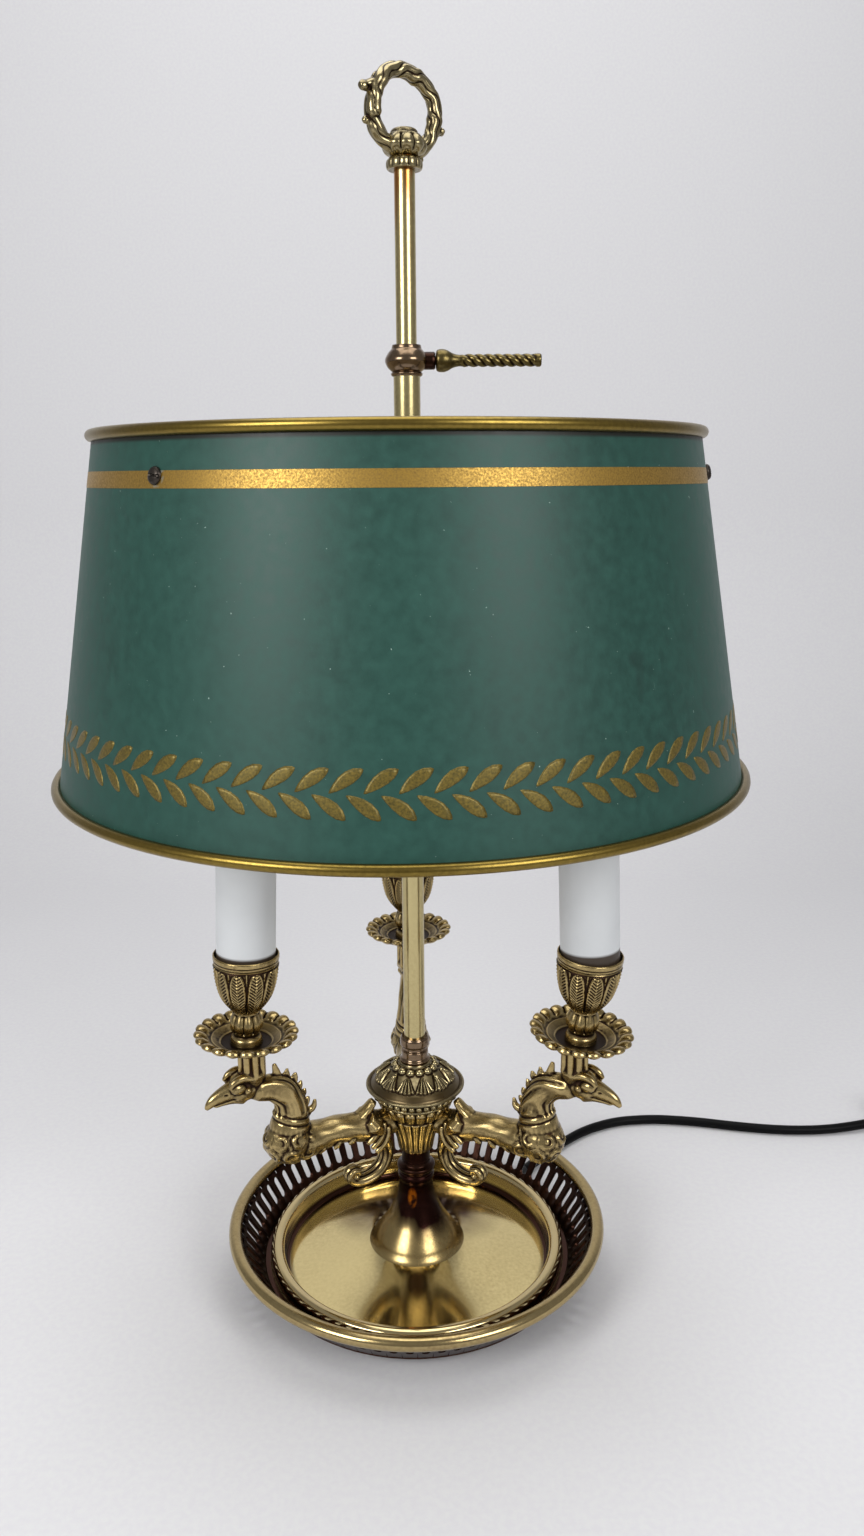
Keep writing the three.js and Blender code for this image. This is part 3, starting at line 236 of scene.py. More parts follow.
backdrop = sweep(900, 900, 2200, 1800, 350)
table_paint, tree, shader = blank("pale_table_paint")
shader.inputs["Roughness"].default_value = 0.6
shader.inputs["Specular IOR Level"].default_value = 0.2
speck = ramp(tree, grain(tree, 1.5, 2), 0.35, 0.65)
pale = blend_colours(tree, speck, paint("#d8d7da"), paint("#dbdbdc"))
tree.links.new(pale, shader.inputs["Base Color"])
sheet_back = add(tree, "ShaderNodeMath", {0: add(tree, "ShaderNodeNewGeometry").outputs["Backfacing"],
                                          1: add(tree, "ShaderNodeLightPath").outputs["Is Camera Ray"]},
                 operation="MULTIPLY")
seen_through = add(tree, "ShaderNodeMixShader", {0: sheet_back.outputs[0], 1: shader.outputs[0],
                                                 2: add(tree, "ShaderNodeBsdfTransparent").outputs[0]})
tree.links.new(seen_through.outputs[0], tree.nodes["Material Output"].inputs["Surface"])
backdrop.data.materials.append(table_paint)

def soft_light(name, place, size, power, target=(0, 0, 250)):
    """A square soft light that faces the target, in millimetres and watts."""
    data = bpy.data.lights.new(name, "AREA")
    data.size, data.energy = size * MM, power
    lamp = bpy.data.objects.new(name, data)
    lamp.location = Vector(place) * MM
    lamp.rotation_euler = (Vector(target) * MM - lamp.location).to_track_quat("-Z", "Y").to_euler()
    bpy.context.scene.collection.objects.link(lamp)

soft_light("light_left", (-800, -900, 800), 560, 9)
soft_light("light_right", (700, -940, 800), 560, 7)
soft_light("light_top", (0, 100, 1500), 1100, 10)

room = bpy.data.worlds.new("room")
bpy.context.scene.world = room
room.use_nodes = True
room.node_tree.nodes["Background"].inputs[0].default_value = paint("#d8d8da")
room.node_tree.nodes["Background"].inputs[1].default_value = 0.42
bpy.context.scene.view_settings.view_transform = "Standard"
print("room made")

# %% [markdown]
# ## Brass
#
# The lamp is brass: turned for the dish, urn and stem, cast for the birds and leaves. Brass is
# a metal, so it has no colour of its own under the shine, only a tinted mirror. Old brass is
# seldom even: a brown tarnish fills the hollows and the polish comes back on what stands out.
# The cast finish reads a number that each mesh carries, "hollow", which says how deep a point
# lies between its neighbours, and darkens with it.

# %% Brass finishes
def both(tree, first, second, kind="MULTIPLY"):
    """Two values put together."""
    return add(tree, "ShaderNodeMath", {0: first, 1: second}, operation=kind, use_clamp=True).outputs[0]

def brass(name, bright, dark, rough, patch=9, spread=0.35, hollows=0, dark_rough=0.1,
          stretch=(1, 1, 1), bump=0.35):
    """Brass with cloudy tarnish. patch is the size of its clouds in millimetres."""
    made, tree, shader = blank(name)
    shader.inputs["Metallic"].default_value = 1
    cloud = ramp(tree, grain(tree, patch, 6, stretch), 0.5 - spread / 2, 0.5 + spread)
    fine = ramp(tree, grain(tree, 0.8, 3), 0.25, 0.75)
    dirt = both(tree, cloud, fine)
    if hollows:
        depth = add(tree, "ShaderNodeAttribute", attribute_name="hollow").outputs["Fac"]
        dirt = both(tree, dirt, ramp(tree, depth, -0.1, hollows), "ADD")
    colour = blend_colours(tree, dirt, paint(bright), paint(dark))
    tree.links.new(colour, shader.inputs["Base Color"])
    dull = add(tree, "ShaderNodeMapRange", {0: dirt}, {3: rough, 4: rough + dark_rough}).outputs[0]
    tree.links.new(dull, shader.inputs["Roughness"])
    relief(tree, shader, grain(tree, 0.5, 3), bump, 0.02)
    return made

def stain_and_painted_light(made, mask, colour):
    """Lays another colour over a finish where the mask, made in its own node tree, is 1. It lays real stains
    and also painted light and shade.
    """
    tree = made.node_tree
    shader = tree.nodes["Principled BSDF"]
    under = shader.inputs["Base Color"].links[0].from_socket
    tree.links.new(blend_colours(tree, mask, under, paint(colour)), shader.inputs["Base Color"])

def from_axis(tree):
    """Distance from the lamp's upright axis, in metres."""
    place = add(tree, "ShaderNodeTexCoord").outputs["Object"]
    flat = add(tree, "ShaderNodeVectorMath", {0: place}, {1: (1, 1, 0)}, operation="MULTIPLY").outputs[0]
    return add(tree, "ShaderNodeVectorMath", {0: flat}, operation="LENGTH").outputs["Value"]

def height_in(tree):
    """Height above the table, in metres."""
    place = add(tree, "ShaderNodeTexCoord").outputs["Object"]
    return add(tree, "ShaderNodeSeparateXYZ", {0: place}).outputs[2]

def near_place(tree, middle, reach):
    """1 at a place in millimetres, falling to 0 at a reach along each axis."""
    place = add(tree, "ShaderNodeTexCoord").outputs["Object"]
    gap = add(tree, "ShaderNodeVectorMath", {0: place}, {1: tuple(v * MM for v in middle)},
        operation="SUBTRACT").outputs[0]
    share = add(tree, "ShaderNodeVectorMath", {0: gap}, {1: tuple(v * MM for v in reach)},
        operation="DIVIDE").outputs[0]
    size = add(tree, "ShaderNodeVectorMath", {0: share}, operation="LENGTH").outputs["Value"]
    return ramp(tree, size, 1, 0.55)

polished_brass = brass("polished_brass", "#ead79c", "#ae9460", 0.1, patch=26, spread=0.6, dark_rough=0.06,
    bump=0.03)
rim_brass = brass("rim_brass", "#b8a474", "#70543a", 0.17, patch=16, spread=0.6)
foot_brass = brass("foot_brass", "#b09a68", "#6f5838", 0.24, patch=14, spread=0.6, stretch=(1, 1, 0.3),
    bump=0.1)
ball_brass = brass("ball_brass", "#84705a", "#4a362b", 0.18, patch=7, spread=0.6)
cast_brass = brass("cast_brass", "#b8a270", "#2c1f17", 0.2, patch=6, spread=0.5, hollows=0.2,
    dark_rough=0.25)
antique_brass = brass("antique_brass", "#a89a74", "#271c14", 0.2, patch=5, spread=0.45, hollows=0.14,
    dark_rough=0.2)
key_brass = brass("key_brass", "#75673f", "#241b10", 0.28, patch=4, spread=0.5, hollows=0.2)
tube_brass = brass("tube_brass", "#c9ba88", "#7c6846", 0.22, patch=9, spread=0.6, stretch=(1, 1, 0.12))
tarnished_brass = brass("tarnished_brass", "#38241c", "#1c0f0d", 0.28, patch=12, spread=0.5)
print("brass finishes:", [m.name for m in bpy.data.materials if "brass" in m.name])

# %% [markdown]
# ## Shapes by the numbers
#
# Most of this lamp was made on a lathe: a profile turned about the middle. Flutes, lobes and
# leaves are then a small push in or out of the turned surface, which is how a chaser works a
# turned blank as well. So the main helper turns a profile and pushes each point along its
# normal by a function of the angle and of the place along the profile.

# %% Mesh helpers
def piece_of(name, points, faces, material, body="base", sharp=None):
    """An object from points in millimetres and faces. It rides on the body."""
    mesh = bpy.data.meshes.new(name)
    mesh.from_pydata((np.asarray(points, float) * MM).tolist(), [], faces)
    mesh.polygons.foreach_set("use_smooth", [True] * len(mesh.polygons))
    if sharp is not None:
        mesh.set_sharp_from_angle(angle=math.radians(sharp))
    mesh.materials.append(material)
    made = bpy.data.objects.new(name, mesh)
    bpy.context.scene.collection.objects.link(made)
    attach(made, body)
    return made

def flowing(points, steps=8):
    """A smooth line through points in any number of columns, with steps between each two."""
    line = np.asarray(points, float)
    padded = np.vstack([2 * line[0] - line[1], line, 2 * line[-1] - line[-2]])
    out = []
    for i in range(len(line) - 1):
        a, b, c, d = padded[i:i + 4]
        second, third = 2 * a - 5 * b + 4 * c - d, 3 * b - a - 3 * c + d
        for t in np.linspace(0, 1, steps, endpoint=False):
            out.append(0.5 * (2 * b + (c - a) * t + second * t * t + third * t ** 3))
    out.append(line[-1])
    return np.array(out)

def evenly(line, spacing):
    """The line again, with points about spacing millimetres apart. Its corners stay."""
    out = [line[0]]
    for a, b in zip(line, line[1:]):
        parts = max(1, round(float(np.linalg.norm(b - a)) / spacing))
        out += [a + (b - a) * k / parts for k in range(1, parts + 1)]
    return np.array(out)

def shares(radius, height, bottom, parts):
    """Outline points from shares of a radius and a height."""
    return [(radius * r, bottom + height * z) for r, z in parts]

def lathe_points(profile, sides, push=None):
    """Points (rings, sides, 3) of a turned profile of (radius, height), pushed along its normals."""
    profile = np.asarray(profile, float)
    tangent = np.gradient(profile, axis=0)
    tangent /= np.maximum(np.linalg.norm(tangent, axis=1, keepdims=True), 1e-9)
    along = np.concatenate([[0], np.cumsum(np.linalg.norm(np.diff(profile, axis=0), axis=1))])
    angle = np.arange(sides) * 2 * math.pi / sides
    r = np.repeat(profile[:, :1], sides, axis=1)
    z = np.repeat(profile[:, 1:], sides, axis=1)
    if push is not None:
        amount = push(angle[None, :], along[:, None] + 0 * r, r, z)
        r = r + amount * tangent[:, 1:]
        z = z - amount * tangent[:, :1]
    return np.stack([r * np.cos(angle), r * np.sin(angle), z], axis=2)

def lathe_faces(rings, sides, closed=False):
    """Quads between neighbouring rings."""
    ring = np.arange(rings if closed else rings - 1)[:, None]
    side = np.arange(sides)[None, :]
    after, beside = (ring + 1) % rings, (side + 1) % sides
    here, there = ring * sides, after * sides
    quads = np.stack([here + side, here + beside, there + beside, there + side], axis=2)
    return quads.reshape(-1, 4).tolist()

def turned(name, profile, material, sides=96, push=None, closed=False, body="base", sharp=40):
    """A turned piece. An open profile runs from the bottom up and is capped at both ends."""
    grid = lathe_points(profile, sides, push)
    rings = len(profile)
    points = grid.reshape(-1, 3)
    faces = lathe_faces(rings, sides, closed)
    if not closed:
        caps = [[0, 0, float(profile[0][1])], [0, 0, float(profile[-1][1])]]
        low, high = len(points), len(points) + 1
        points = np.vstack([points, caps])
        faces += [(low, (s + 1) % sides, s) for s in range(sides)]
        top = (rings - 1) * sides
        faces += [(high, top + s, top + (s + 1) % sides) for s in range(sides)]
    return piece_of(name, points, faces, material, body, sharp)

def places_and_normals(mesh):
    """The mesh's points in millimetres and their normals, as arrays."""
    read = {}
    for name in ("co", "normal"):
        read[name] = np.zeros(len(mesh.vertices) * 3)
        mesh.vertices.foreach_get(name, read[name])
    return read["co"].reshape(-1, 3) / MM, read["normal"].reshape(-1, 3)

def put_places(mesh, places):
    """Moves the mesh's points to places in millimetres."""
    mesh.vertices.foreach_set("co", (places * MM).ravel())
    mesh.update()

def note_hollows(made, rounds=6, depth=0.6):
    """Stores how deep each point lies between its neighbours, -1 to 1, as the number "hollow"."""
    mesh = made.data
    count = len(mesh.vertices)
    places, normals = places_and_normals(mesh)
    pairs = np.zeros(len(mesh.edges) * 2, int)
    mesh.edges.foreach_get("vertices", pairs)
    a, b = pairs[0::2], pairs[1::2]
    near = np.maximum(np.bincount(a, minlength=count) + np.bincount(b, minlength=count), 1)
    smooth = places.copy()
    for _ in range(rounds):
        total = np.stack([np.bincount(a, smooth[b, k], count) + np.bincount(b, smooth[a, k], count)
            for k in range(3)], axis=1)
        smooth = total / near[:, None]
    hollow = np.einsum("ij,ij->i", smooth - places, normals) / depth
    layer = mesh.attributes.new("hollow", "FLOAT", "POINT")
    layer.data.foreach_set("value", np.clip(hollow, -1, 1).astype(np.float32))
    return made

def bump_row(angle, count, sharpness=1.0):
    """0 between and 1 on the middle of each of count round lobes about the axis."""
    return np.abs(np.cos(angle * count / 2)) ** sharpness

def rounded(u):
    """Half circle over u from -1 to 1, 0 outside."""
    return np.sqrt(np.clip(1 - u * u, 0, 1))

# %% [markdown]
# ## The dish
#
# The base is a shallow dish with a mirror-bright floor, a fat bead, a dark channel, and a wall
# pierced with 72 upright slots under a rolled rim. A turned profile gives all but the slots.
# Cutting 72 holes with booleans would leave rough edges, so the wall is built round its holes
# instead: one slot and the strip of wall about it is made as rings of points, then repeated.

# %% Dish plate
def ring_arc(centre, radius, first, last, steps):
    """Points on a circle in the profile's plane, angles in degrees."""
    angles = [math.radians(first + (last - first) * i / steps) for i in range(steps + 1)]
    return [(centre[0] + radius * math.cos(a), centre[1] + radius * math.sin(a)) for a in angles]

def floor_height(radius):
    """Top of the spun floor, a low dome that rises faster by the trumpet, in millimetres."""
    share = (radius - 22) / (63.5 - 22)
    return 6.8 + 8.7 * (0.86 * (1 - share) ** 1.15 + 0.14 * math.exp(-share / 0.09))

plate_profile = [(5.4, 13.9), (22, 13.9)] + [(r, floor_height(r) - 1.6) for r in (30, 40, 50, 60)]
plate_profile += [(64, 5.3), (66.9, 5.3), (66.9, 0.9), (67.2, 0.6), (68.7, 0.6), (69, 0.9),
                  (69.3, 4.5), (70.6, 7.4), (71.6, 7.9), (76.9, 7.9), (77.6, 8.4), (77.3, 9.6)]
plate_profile += [(76.4, 9.55), (75.6, 9.6), (73.7, 9.6), (73.2, 10.0)]
plate_profile += ring_arc((69.9, 14.6), 3.3, 0, 180, 14)
plate_profile += [(66.5, 9.0), (66.0, 7.6), (65.3, 6.9), (64.4, 6.6), (63.5, 6.8)]
plate_profile += [(r, floor_height(r)) for r in [*range(60, 34, -3), *range(33, 22, -1)]]
plate_profile += [(22, 15.5), (5.4, 15.5)]
dish_plate = turned("dish_plate", evenly(np.array(plate_profile), 2.5), polished_brass, 180, closed=True,
    sharp=35)
tree = polished_brass.node_tree
place = from_axis(tree)
low = ramp(tree, height_in(tree), 0.0160, 0.0130)
channel = both(tree, ramp(tree, place, 0.0728, 0.0738), low)
groove = both(tree, ramp(tree, place, 0.0620, 0.0645), ramp(tree, height_in(tree), 0.0105, 0.0085))
# Painted highlight: the upper half of the bead is painted a lighter brass where light catches it.
painted_bead_highlight = both(tree, ramp(tree, place, 0.0655, 0.0665), ramp(tree, height_in(tree), 0.0100, 0.0120))
stain_and_painted_light(polished_brass, painted_bead_highlight, "#cdb98a")
# Painted reflection: a dark brown patch on the floor behind the trumpet stands in for the dark things the
# mirror floor shows there.
painted_reflection_behind = both(tree, near_place(tree, (0, 24, 13), (46, 34, 30)), ramp(tree, grain(tree, 12, 3), 0.1, 0.6))
stain_and_painted_light(polished_brass, painted_reflection_behind, "#45271a")
stain_and_painted_light(polished_brass, both(tree, channel, groove, "MAXIMUM"), "#3f281f")
print("dish plate faces:", len(dish_plate.data.polygons))

# %% Pierced wall
SLOTS, SLOT_RADIUS, SLOT_LOW, SLOT_HIGH = 72, 1.6, 14.0, 23.4
WALL_LOW, WALL_HIGH, WALL_THICK = 9.0, 24.9, 2.0
BEVEL = 2.05 - SLOT_RADIUS
WALL_LOOPS = [(None, True), (BEVEL, True), (0, None), (BEVEL, False), (None, False)]

def wall_line(height, outside):
    """Radius of the wall's inner or outer face at a height above the table."""
    return 76 + (height - 9.6) * 0.665 + (WALL_THICK if outside else 0)

def slot_loop(radius, low, high, corners=5, side=5):
    """Points round a slot with round ends of that radius: (sideways, height)."""
    points = [(radius, low + radius + (high - low - 2 * radius) * i / side) for i in range(side)]
    points += [(radius * math.cos(a), high - radius + radius * math.sin(a))
               for a in (math.pi * i / (2 * corners) for i in range(2 * corners))]
    points += [(-radius, high - radius - (high - low - 2 * radius) * i / side) for i in range(side)]
    points += [(-radius * math.cos(a), low + radius - radius * math.sin(a))
               for a in (math.pi * i / (2 * corners) for i in range(2 * corners))]
    return points

def pierced_wall():
    """All periods of the wall. Each has loops: frame and slot outside, slot and frame inside."""
    count = len(slot_loop(SLOT_RADIUS, SLOT_LOW, SLOT_HIGH))
    half_turn = math.pi / SLOTS
    points, faces = [], []

    def put(radius, angle, height):
        points.append((radius * math.cos(angle), radius * math.sin(angle), height))

    for period in range(SLOTS):
        middle = (period + 0.5) * 2 * half_turn
        first = len(points)
        for edge, outside in WALL_LOOPS:
            if edge is None:
                for sideways, height in slot_loop(SLOT_RADIUS, SLOT_LOW, SLOT_HIGH):
                    if abs(sideways) >= SLOT_RADIUS - 0.01:
                        side_angle = math.copysign(half_turn, sideways)
                    else:
                        side_angle = half_turn * sideways / SLOT_RADIUS
                        height = WALL_HIGH if height > (SLOT_LOW + SLOT_HIGH) / 2 else WALL_LOW
                    put(wall_line(height, outside), middle + side_angle, height)
                continue
            for sideways, height in slot_loop(SLOT_RADIUS + edge, SLOT_LOW - edge, SLOT_HIGH + edge):
                radius = wall_line(height, True) - 0.93 if outside is None else wall_line(height, outside)
                put(radius, middle + sideways / radius, height)
        for ring in range(len(WALL_LOOPS) - 1):
            for k in range(count):
                a, b = first + ring * count + k, first + ring * count + (k + 1) % count
                faces.append((a, b, b + count, a + count))
    return points, faces

wall_points, wall_faces = pierced_wall()
dish_wall = piece_of("dish_wall", wall_points, wall_faces, tarnished_brass, sharp=50)
weld = bmesh.new()
weld.from_mesh(dish_wall.data)
bmesh.ops.remove_doubles(weld, verts=weld.verts, dist=0.02 * MM)
bmesh.ops.recalc_face_normals(weld, faces=weld.faces)
weld.to_mesh(dish_wall.data)
weld.free()
print("pierced wall faces:", len(dish_wall.data.polygons))

# %% Rolled rim
rim_profile = ring_arc((90.2, 27), 3.2, 0, 345, 23)
dish_rim = turned("dish_rim", rim_profile, rim_brass, 216, closed=True, sharp=60)
for made in (dish_plate, dish_wall, dish_rim):
    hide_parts("base_dish")
print("rim radius:", round(max(p[0] for p in rim_profile), 2))

# %% [markdown]
# ## The urn
#
# Six turned pieces are threaded on one rod: a trumpet-shaped foot, a small collar, a fluted
# vase, a ring of beads, a dome of shells and small beads, and the collar that holds the stem.
# The flutes and beads were cut or chased in the turned brass. Here each is a push function.

# %% Foot and collar
trumpet_profile = flowing([(24.6, 14.1), (23.5, 14.9), (22.4, 16.0), (21.3, 17.6), (20.3, 19.4), (18.6, 22),
    (16.8, 24.6), (14.2, 28.6), (12.3, 32.5), (10, 38), (8.8, 43), (8.4, 47), (8.4, 49.4)], 8)
trumpet_profile = np.vstack([trumpet_profile, flowing([(8.9, 50), (9.0, 51.2), (8.8, 52.6), (8.3, 53.2),
    (8.2, 54.2), (8.5, 55)], 4)])
trumpet = turned("trumpet_foot_turned", trumpet_profile, foot_brass, 128, sharp=60)
tree = foot_brass.node_tree
# The upper trumpet is darker in streaks running down from the neck: tarnish, together with a painted dark
# reflection.
streak = ramp(tree, grain(tree, 9, 3, (1, 1, 0.12)), 0.3, 0.7)
climb = add(tree, "ShaderNodeMath", {0: streak, 2: height_in(tree)}, {1: 0.016},
    operation="MULTIPLY_ADD").outputs[0]
stain_and_painted_light(foot_brass, ramp(tree, climb, 0.0330, 0.0430), "#2a1713")
amber = ramp(tree, grain(tree, 2, 3), 0.35, 0.5)
stain_and_painted_light(foot_brass, both(tree, near_place(tree, (-2, -9.5, 43), (2.6, 6, 5.5)), amber), "#c8701c")
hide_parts("trumpet_foot")
foot_collar = turned("foot_collar_turned", flowing([(7.6, 55), (8.9, 55.2), (9.3, 56.2), (9.1, 57.3),
    (8.2, 57.9), (7.4, 58.6), (7.2, 59.8)], 5), tarnished_brass, 96, sharp=60)
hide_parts("foot_collar")
print("trumpet rings:", len(trumpet_profile))

# %% Fluted vase
def vase_push(angle, along, r, z):
    """Long flutes below and short round lobes above them, on a plain neck."""
    flute = bump_row(angle, 20, 0.6) - 1
    low = np.clip((z - 66.8) / 2, 0, 1) * np.clip((86.0 - z) / 1.2, 0, 1)
    across = np.abs(((angle * 20 / (2 * math.pi)) % 1) * 2 - 1) * 1.04
    end = np.clip((88.4 - z) / 2.4, 0, 1) + np.clip((z - 91.2) / 2.2, 0, 1)
    lobe = rounded(np.sqrt(across ** 2 + end ** 2))
    return flute * low * (0.05 * r + 0.25) + (z > 85.4) * (1.35 * lobe - 0.75)

vase_profile = evenly(flowing([(7.1, 59.8), (6.9, 62), (6.9, 65.6), (7.6, 66.4), (8.6, 67), (9.0, 69),
    (9.8, 73), (11.1, 77), (13.0, 81.5), (14.9, 86), (16.9, 90.2), (17.9, 93), (18.0, 94)], 10), 0.4)
vase = note_hollows(turned("vase_fluted", vase_profile, cast_brass, 400, vase_push, sharp=60), 8)
tree = cast_brass.node_tree
height = height_in(tree)
neck_band = both(tree, ramp(tree, height, 0.0590, 0.0598), ramp(tree, height, 0.0685, 0.0665))
stain_and_painted_light(cast_brass, both(tree, neck_band, ramp(tree, from_axis(tree), 0.0110, 0.0095)), "#2a1712")
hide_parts("urn_vase")
print("vase faces:", len(vase.data.polygons))

# %% Bead ring
def bead_push(angle, along, r, z):
    """Round beads, each 3 mm, on a cove between two plain edges."""
    across = (z - 97.7) / 1.6
    around = np.abs(((angle * 36 / (2 * math.pi)) % 1) * 2 - 1)
    return (z > 95.7) * (1.5 * rounded(np.sqrt((around * 1.1) ** 2 + across ** 2)) - 0.2)

bead_profile = evenly(np.array([(17.5, 94), (18.7, 94), (19.1, 94.3), (19.2, 95.2), (18.8, 95.6),
    (19.0, 96.0), (19.8, 96.6), (20.6, 98.4), (20.9, 99.4), (17.5, 99.4)]), 0.26)
bead_ring = note_hollows(turned("bead_ring", bead_profile, antique_brass, 576, bead_push, sharp=60))
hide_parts("urn_bead_ring")
print("beads: 36, one every", round(2 * math.pi * 20.4 / 36, 2), "mm")

# %% Dome of shells
def dome_push(angle, along, r, z):
    """Twelve shells of five rays inside a plain field, and a row of round beads nearer the stem."""
    turn = (((angle * 12 / (2 * math.pi)) % 1) * 2 - 1) * math.pi / 12
    sideways, outward = np.sin(turn) * r, np.cos(turn) * r - 12.2
    ray = np.arctan2(sideways, np.maximum(outward, 0.01))
    reach = np.hypot(sideways, outward)
    lobes = np.abs(np.cos(ray * math.pi / 0.3))
    shell = np.clip((7.3 + 0.5 * lobes - reach) / 0.5, 0, 1)
    shell = shell * np.clip((0.66 - np.abs(ray)) / 0.08, 0, 1) * (outward > 0.3)
    shell = shell * (0.55 + 0.75 * lobes ** 0.7) * (z > 102)
    bead = np.abs((((angle * 14 / (2 * math.pi)) + 0.5) % 1) * 2 - 1)
    row = 1.7 * rounded(np.sqrt((bead * 1.08) ** 2 + ((r - 9.9) / 1.75) ** 2)) * (z > 108.5)
    groove = 0.5 * np.exp(-((r - 22.6) / 0.35) ** 2) * (z > 101.3)
    return shell + row - groove - 0.6 * (z > 102.2) * (r > 8.2)

dome_profile = evenly(flowing([(19.8, 99.4), (21.2, 99.5), (22.3, 99.9), (23.2, 100.5), (23.9, 100.8),
    (24, 101.2), (23.8, 101.7), (23.0, 102.0), (22.0, 102.5), (19.8, 104.8), (16.4, 107.6), (13.4, 109.6),
    (11.6, 110.6), (9.2, 112.0), (7.7, 112.5), (7.2, 113.3)], 8), 0.3)
tree = antique_brass.node_tree
place, height = from_axis(tree), height_in(tree)
field = both(tree, ramp(tree, place, 0.0190, 0.0200), ramp(tree, place, 0.0232, 0.0226))
field_heights = both(tree, ramp(tree, height, 0.1010, 0.1016), ramp(tree, height, 0.1070, 0.1060))
stain_and_painted_light(antique_brass, both(tree, field, field_heights), "#66583f")
dome = note_hollows(turned("dome_of_shells", dome_profile, antique_brass, 520, dome_push, sharp=60))
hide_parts("urn_dome")
print("dome faces:", len(dome.data.polygons))

# %% [markdown]
# ## Stem and rod
#
# A drawn tube rises from the urn into the shade, and a thinner polished rod goes on from it to
# the finial. Drawn tube is the smoothest brass on the lamp, with faint streaks along it.

# %% Stem, rod and collars
stem_collar_profile = shares(7.3, 13.2, 113.3, [(0.99, 0), (1, 0.1), (0.88, 0.2), (0.88, 0.43),
    (0.77, 0.48), (0.77, 0.6), (0.95, 0.66), (0.95, 0.9), (0.85, 1)])
stem_collar = turned("stem_collar_turned", flowing([(6.6, 113.3)] + stem_collar_profile[1:], 4),
    tarnished_brass, 96, sharp=50)
stem_collar.data.materials[0] = ball_brass
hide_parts("stem_collar")
stem = turned("stem_drawn", evenly(np.array([(4.8, 117.3), (5.07, 117.6), (5.07, 331.7), (4.8, 332)]), 8),
    tube_brass, 64, sharp=50)
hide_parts("stem_tube")
rod = turned("rod_polished", evenly(np.array([(4.1, 318.3), (4.3, 318.6), (4.3, 518.7), (4.1, 519)]), 8),
    tube_brass, 64, sharp=50)
tree = tube_brass.node_tree
rod_top = ramp(tree, height_in(tree), 0.4700, 0.5080)
streaks = ramp(tree, grain(tree, 2.5, 4, (1, 1, 0.15)), 0.5, 0.62)
stain_and_painted_light(tube_brass, both(tree, rod_top, streaks), "#a86a2a")
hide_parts("slide_rod")
print("stem and rod made")

# %% [markdown]
# ## The birds
#
# Three cast birds hold the candle lights on their heads. A casting has no sharp joins: neck,
# breast, beak and crest flow into each other. So each part of the bird is first a tapering limb
# along a curved line, the limbs are laid over one another, and a voxel remesh melts them into a
# single skin. Feathers and ribs are then pushed in or out of that skin.

# %% Limbs
ARM_REACH, BREAST, ARM_DEPTH = 84.5, 78.4, 61.3

def limb(stations, sides=16, wide=1.0, steps=6, aside=0.0):
    """Points and faces of a round limb. A station is (reach, height, radius), or with a place aside."""
    line = flowing(np.array([(*s[:3], s[3] if len(s) > 3 else aside) for s in stations], float), steps)
    path = line[:, [0, 3, 1]]
    radius = np.maximum(line[:, 2], 0.25)
    tangent = np.gradient(path, axis=0)
    tangent /= np.linalg.norm(tangent, axis=1, keepdims=True)
    across = np.array([0, 1.0, 0])
    up = np.cross(tangent, across)
    turn = np.arange(sides) * 2 * math.pi / sides
    rings = [path[i] + radius[i] * (wide * np.cos(turn)[:, None] * across + np.sin(turn)[:, None] * up[i])
             for i in range(len(path))]
    dome_start = [path[0] - tangent[0] * radius[0] * 0.6 + (rings[0] - path[0]) * 0.7]
    dome_end = [path[-1] + tangent[-1] * radius[-1] * 0.6 + (rings[-1] - path[-1]) * 0.7]
    rings = dome_start + rings + dome_end
    points = np.concatenate(rings)
    faces = lathe_faces(len(rings), sides)
    faces.append(tuple(range(sides))[::-1])
    faces.append(tuple((len(rings) - 1) * sides + k for k in range(sides)))
    return points, faces

def ball(centre, radius, squash=(1, 1, 1), rings=9, sides=16):
    """Points and faces of a ball, squashed along each axis."""
    angles = np.linspace(-math.pi / 2, math.pi / 2, rings + 2)[1:-1]
    turn = np.arange(sides) * 2 * math.pi / sides
    points = [np.stack([np.cos(a) * np.cos(turn), np.cos(a) * np.sin(turn), np.full(sides, np.sin(a))], axis=1)
              for a in angles]
    points = np.concatenate(points) * radius * np.array(squash) + np.array(centre)
    faces = lathe_faces(rings, sides)
    faces.append(tuple(range(sides))[::-1])
    faces.append(tuple((rings - 1) * sides + k for k in range(sides)))
    return points, faces

def melted(name, parts, voxel, material, rounds=2):
    """One skin round overlapping closed parts, with voxels of that many millimetres."""
    points, faces, start = [], [], 0
    for part_points, part_faces in parts:
        points.append(part_points)
        faces += [tuple(i + start for i in face) for face in part_faces]
        start += len(part_points)
    made = piece_of(name, np.concatenate(points), faces, material)
    remesh = made.modifiers.new("melt", "REMESH")
    remesh.mode, remesh.voxel_size, remesh.use_smooth_shade = "VOXEL", voxel * MM, True
    soften = made.modifiers.new("soften", "SMOOTH")
    soften.factor, soften.iterations = 0.5, rounds
    bpy.context.view_layer.update()
    skin = bpy.data.meshes.new_from_object(made.evaluated_get(bpy.context.evaluated_depsgraph_get()))
    made.modifiers.clear()
    old = made.data
    made.data = skin
    made.data.name = name
    bpy.data.meshes.remove(old)
    skin.polygons.foreach_set("use_smooth", [True] * len(skin.polygons))
    if not skin.materials:
        skin.materials.append(material)
    return made

def in_arm(parts):
    """Bird stations in shares of the arm's reach and depth, as millimetres."""
    return [(ARM_REACH * reach, BREAST + ARM_DEPTH * height, ARM_DEPTH * radius)
            for reach, height, radius in parts]

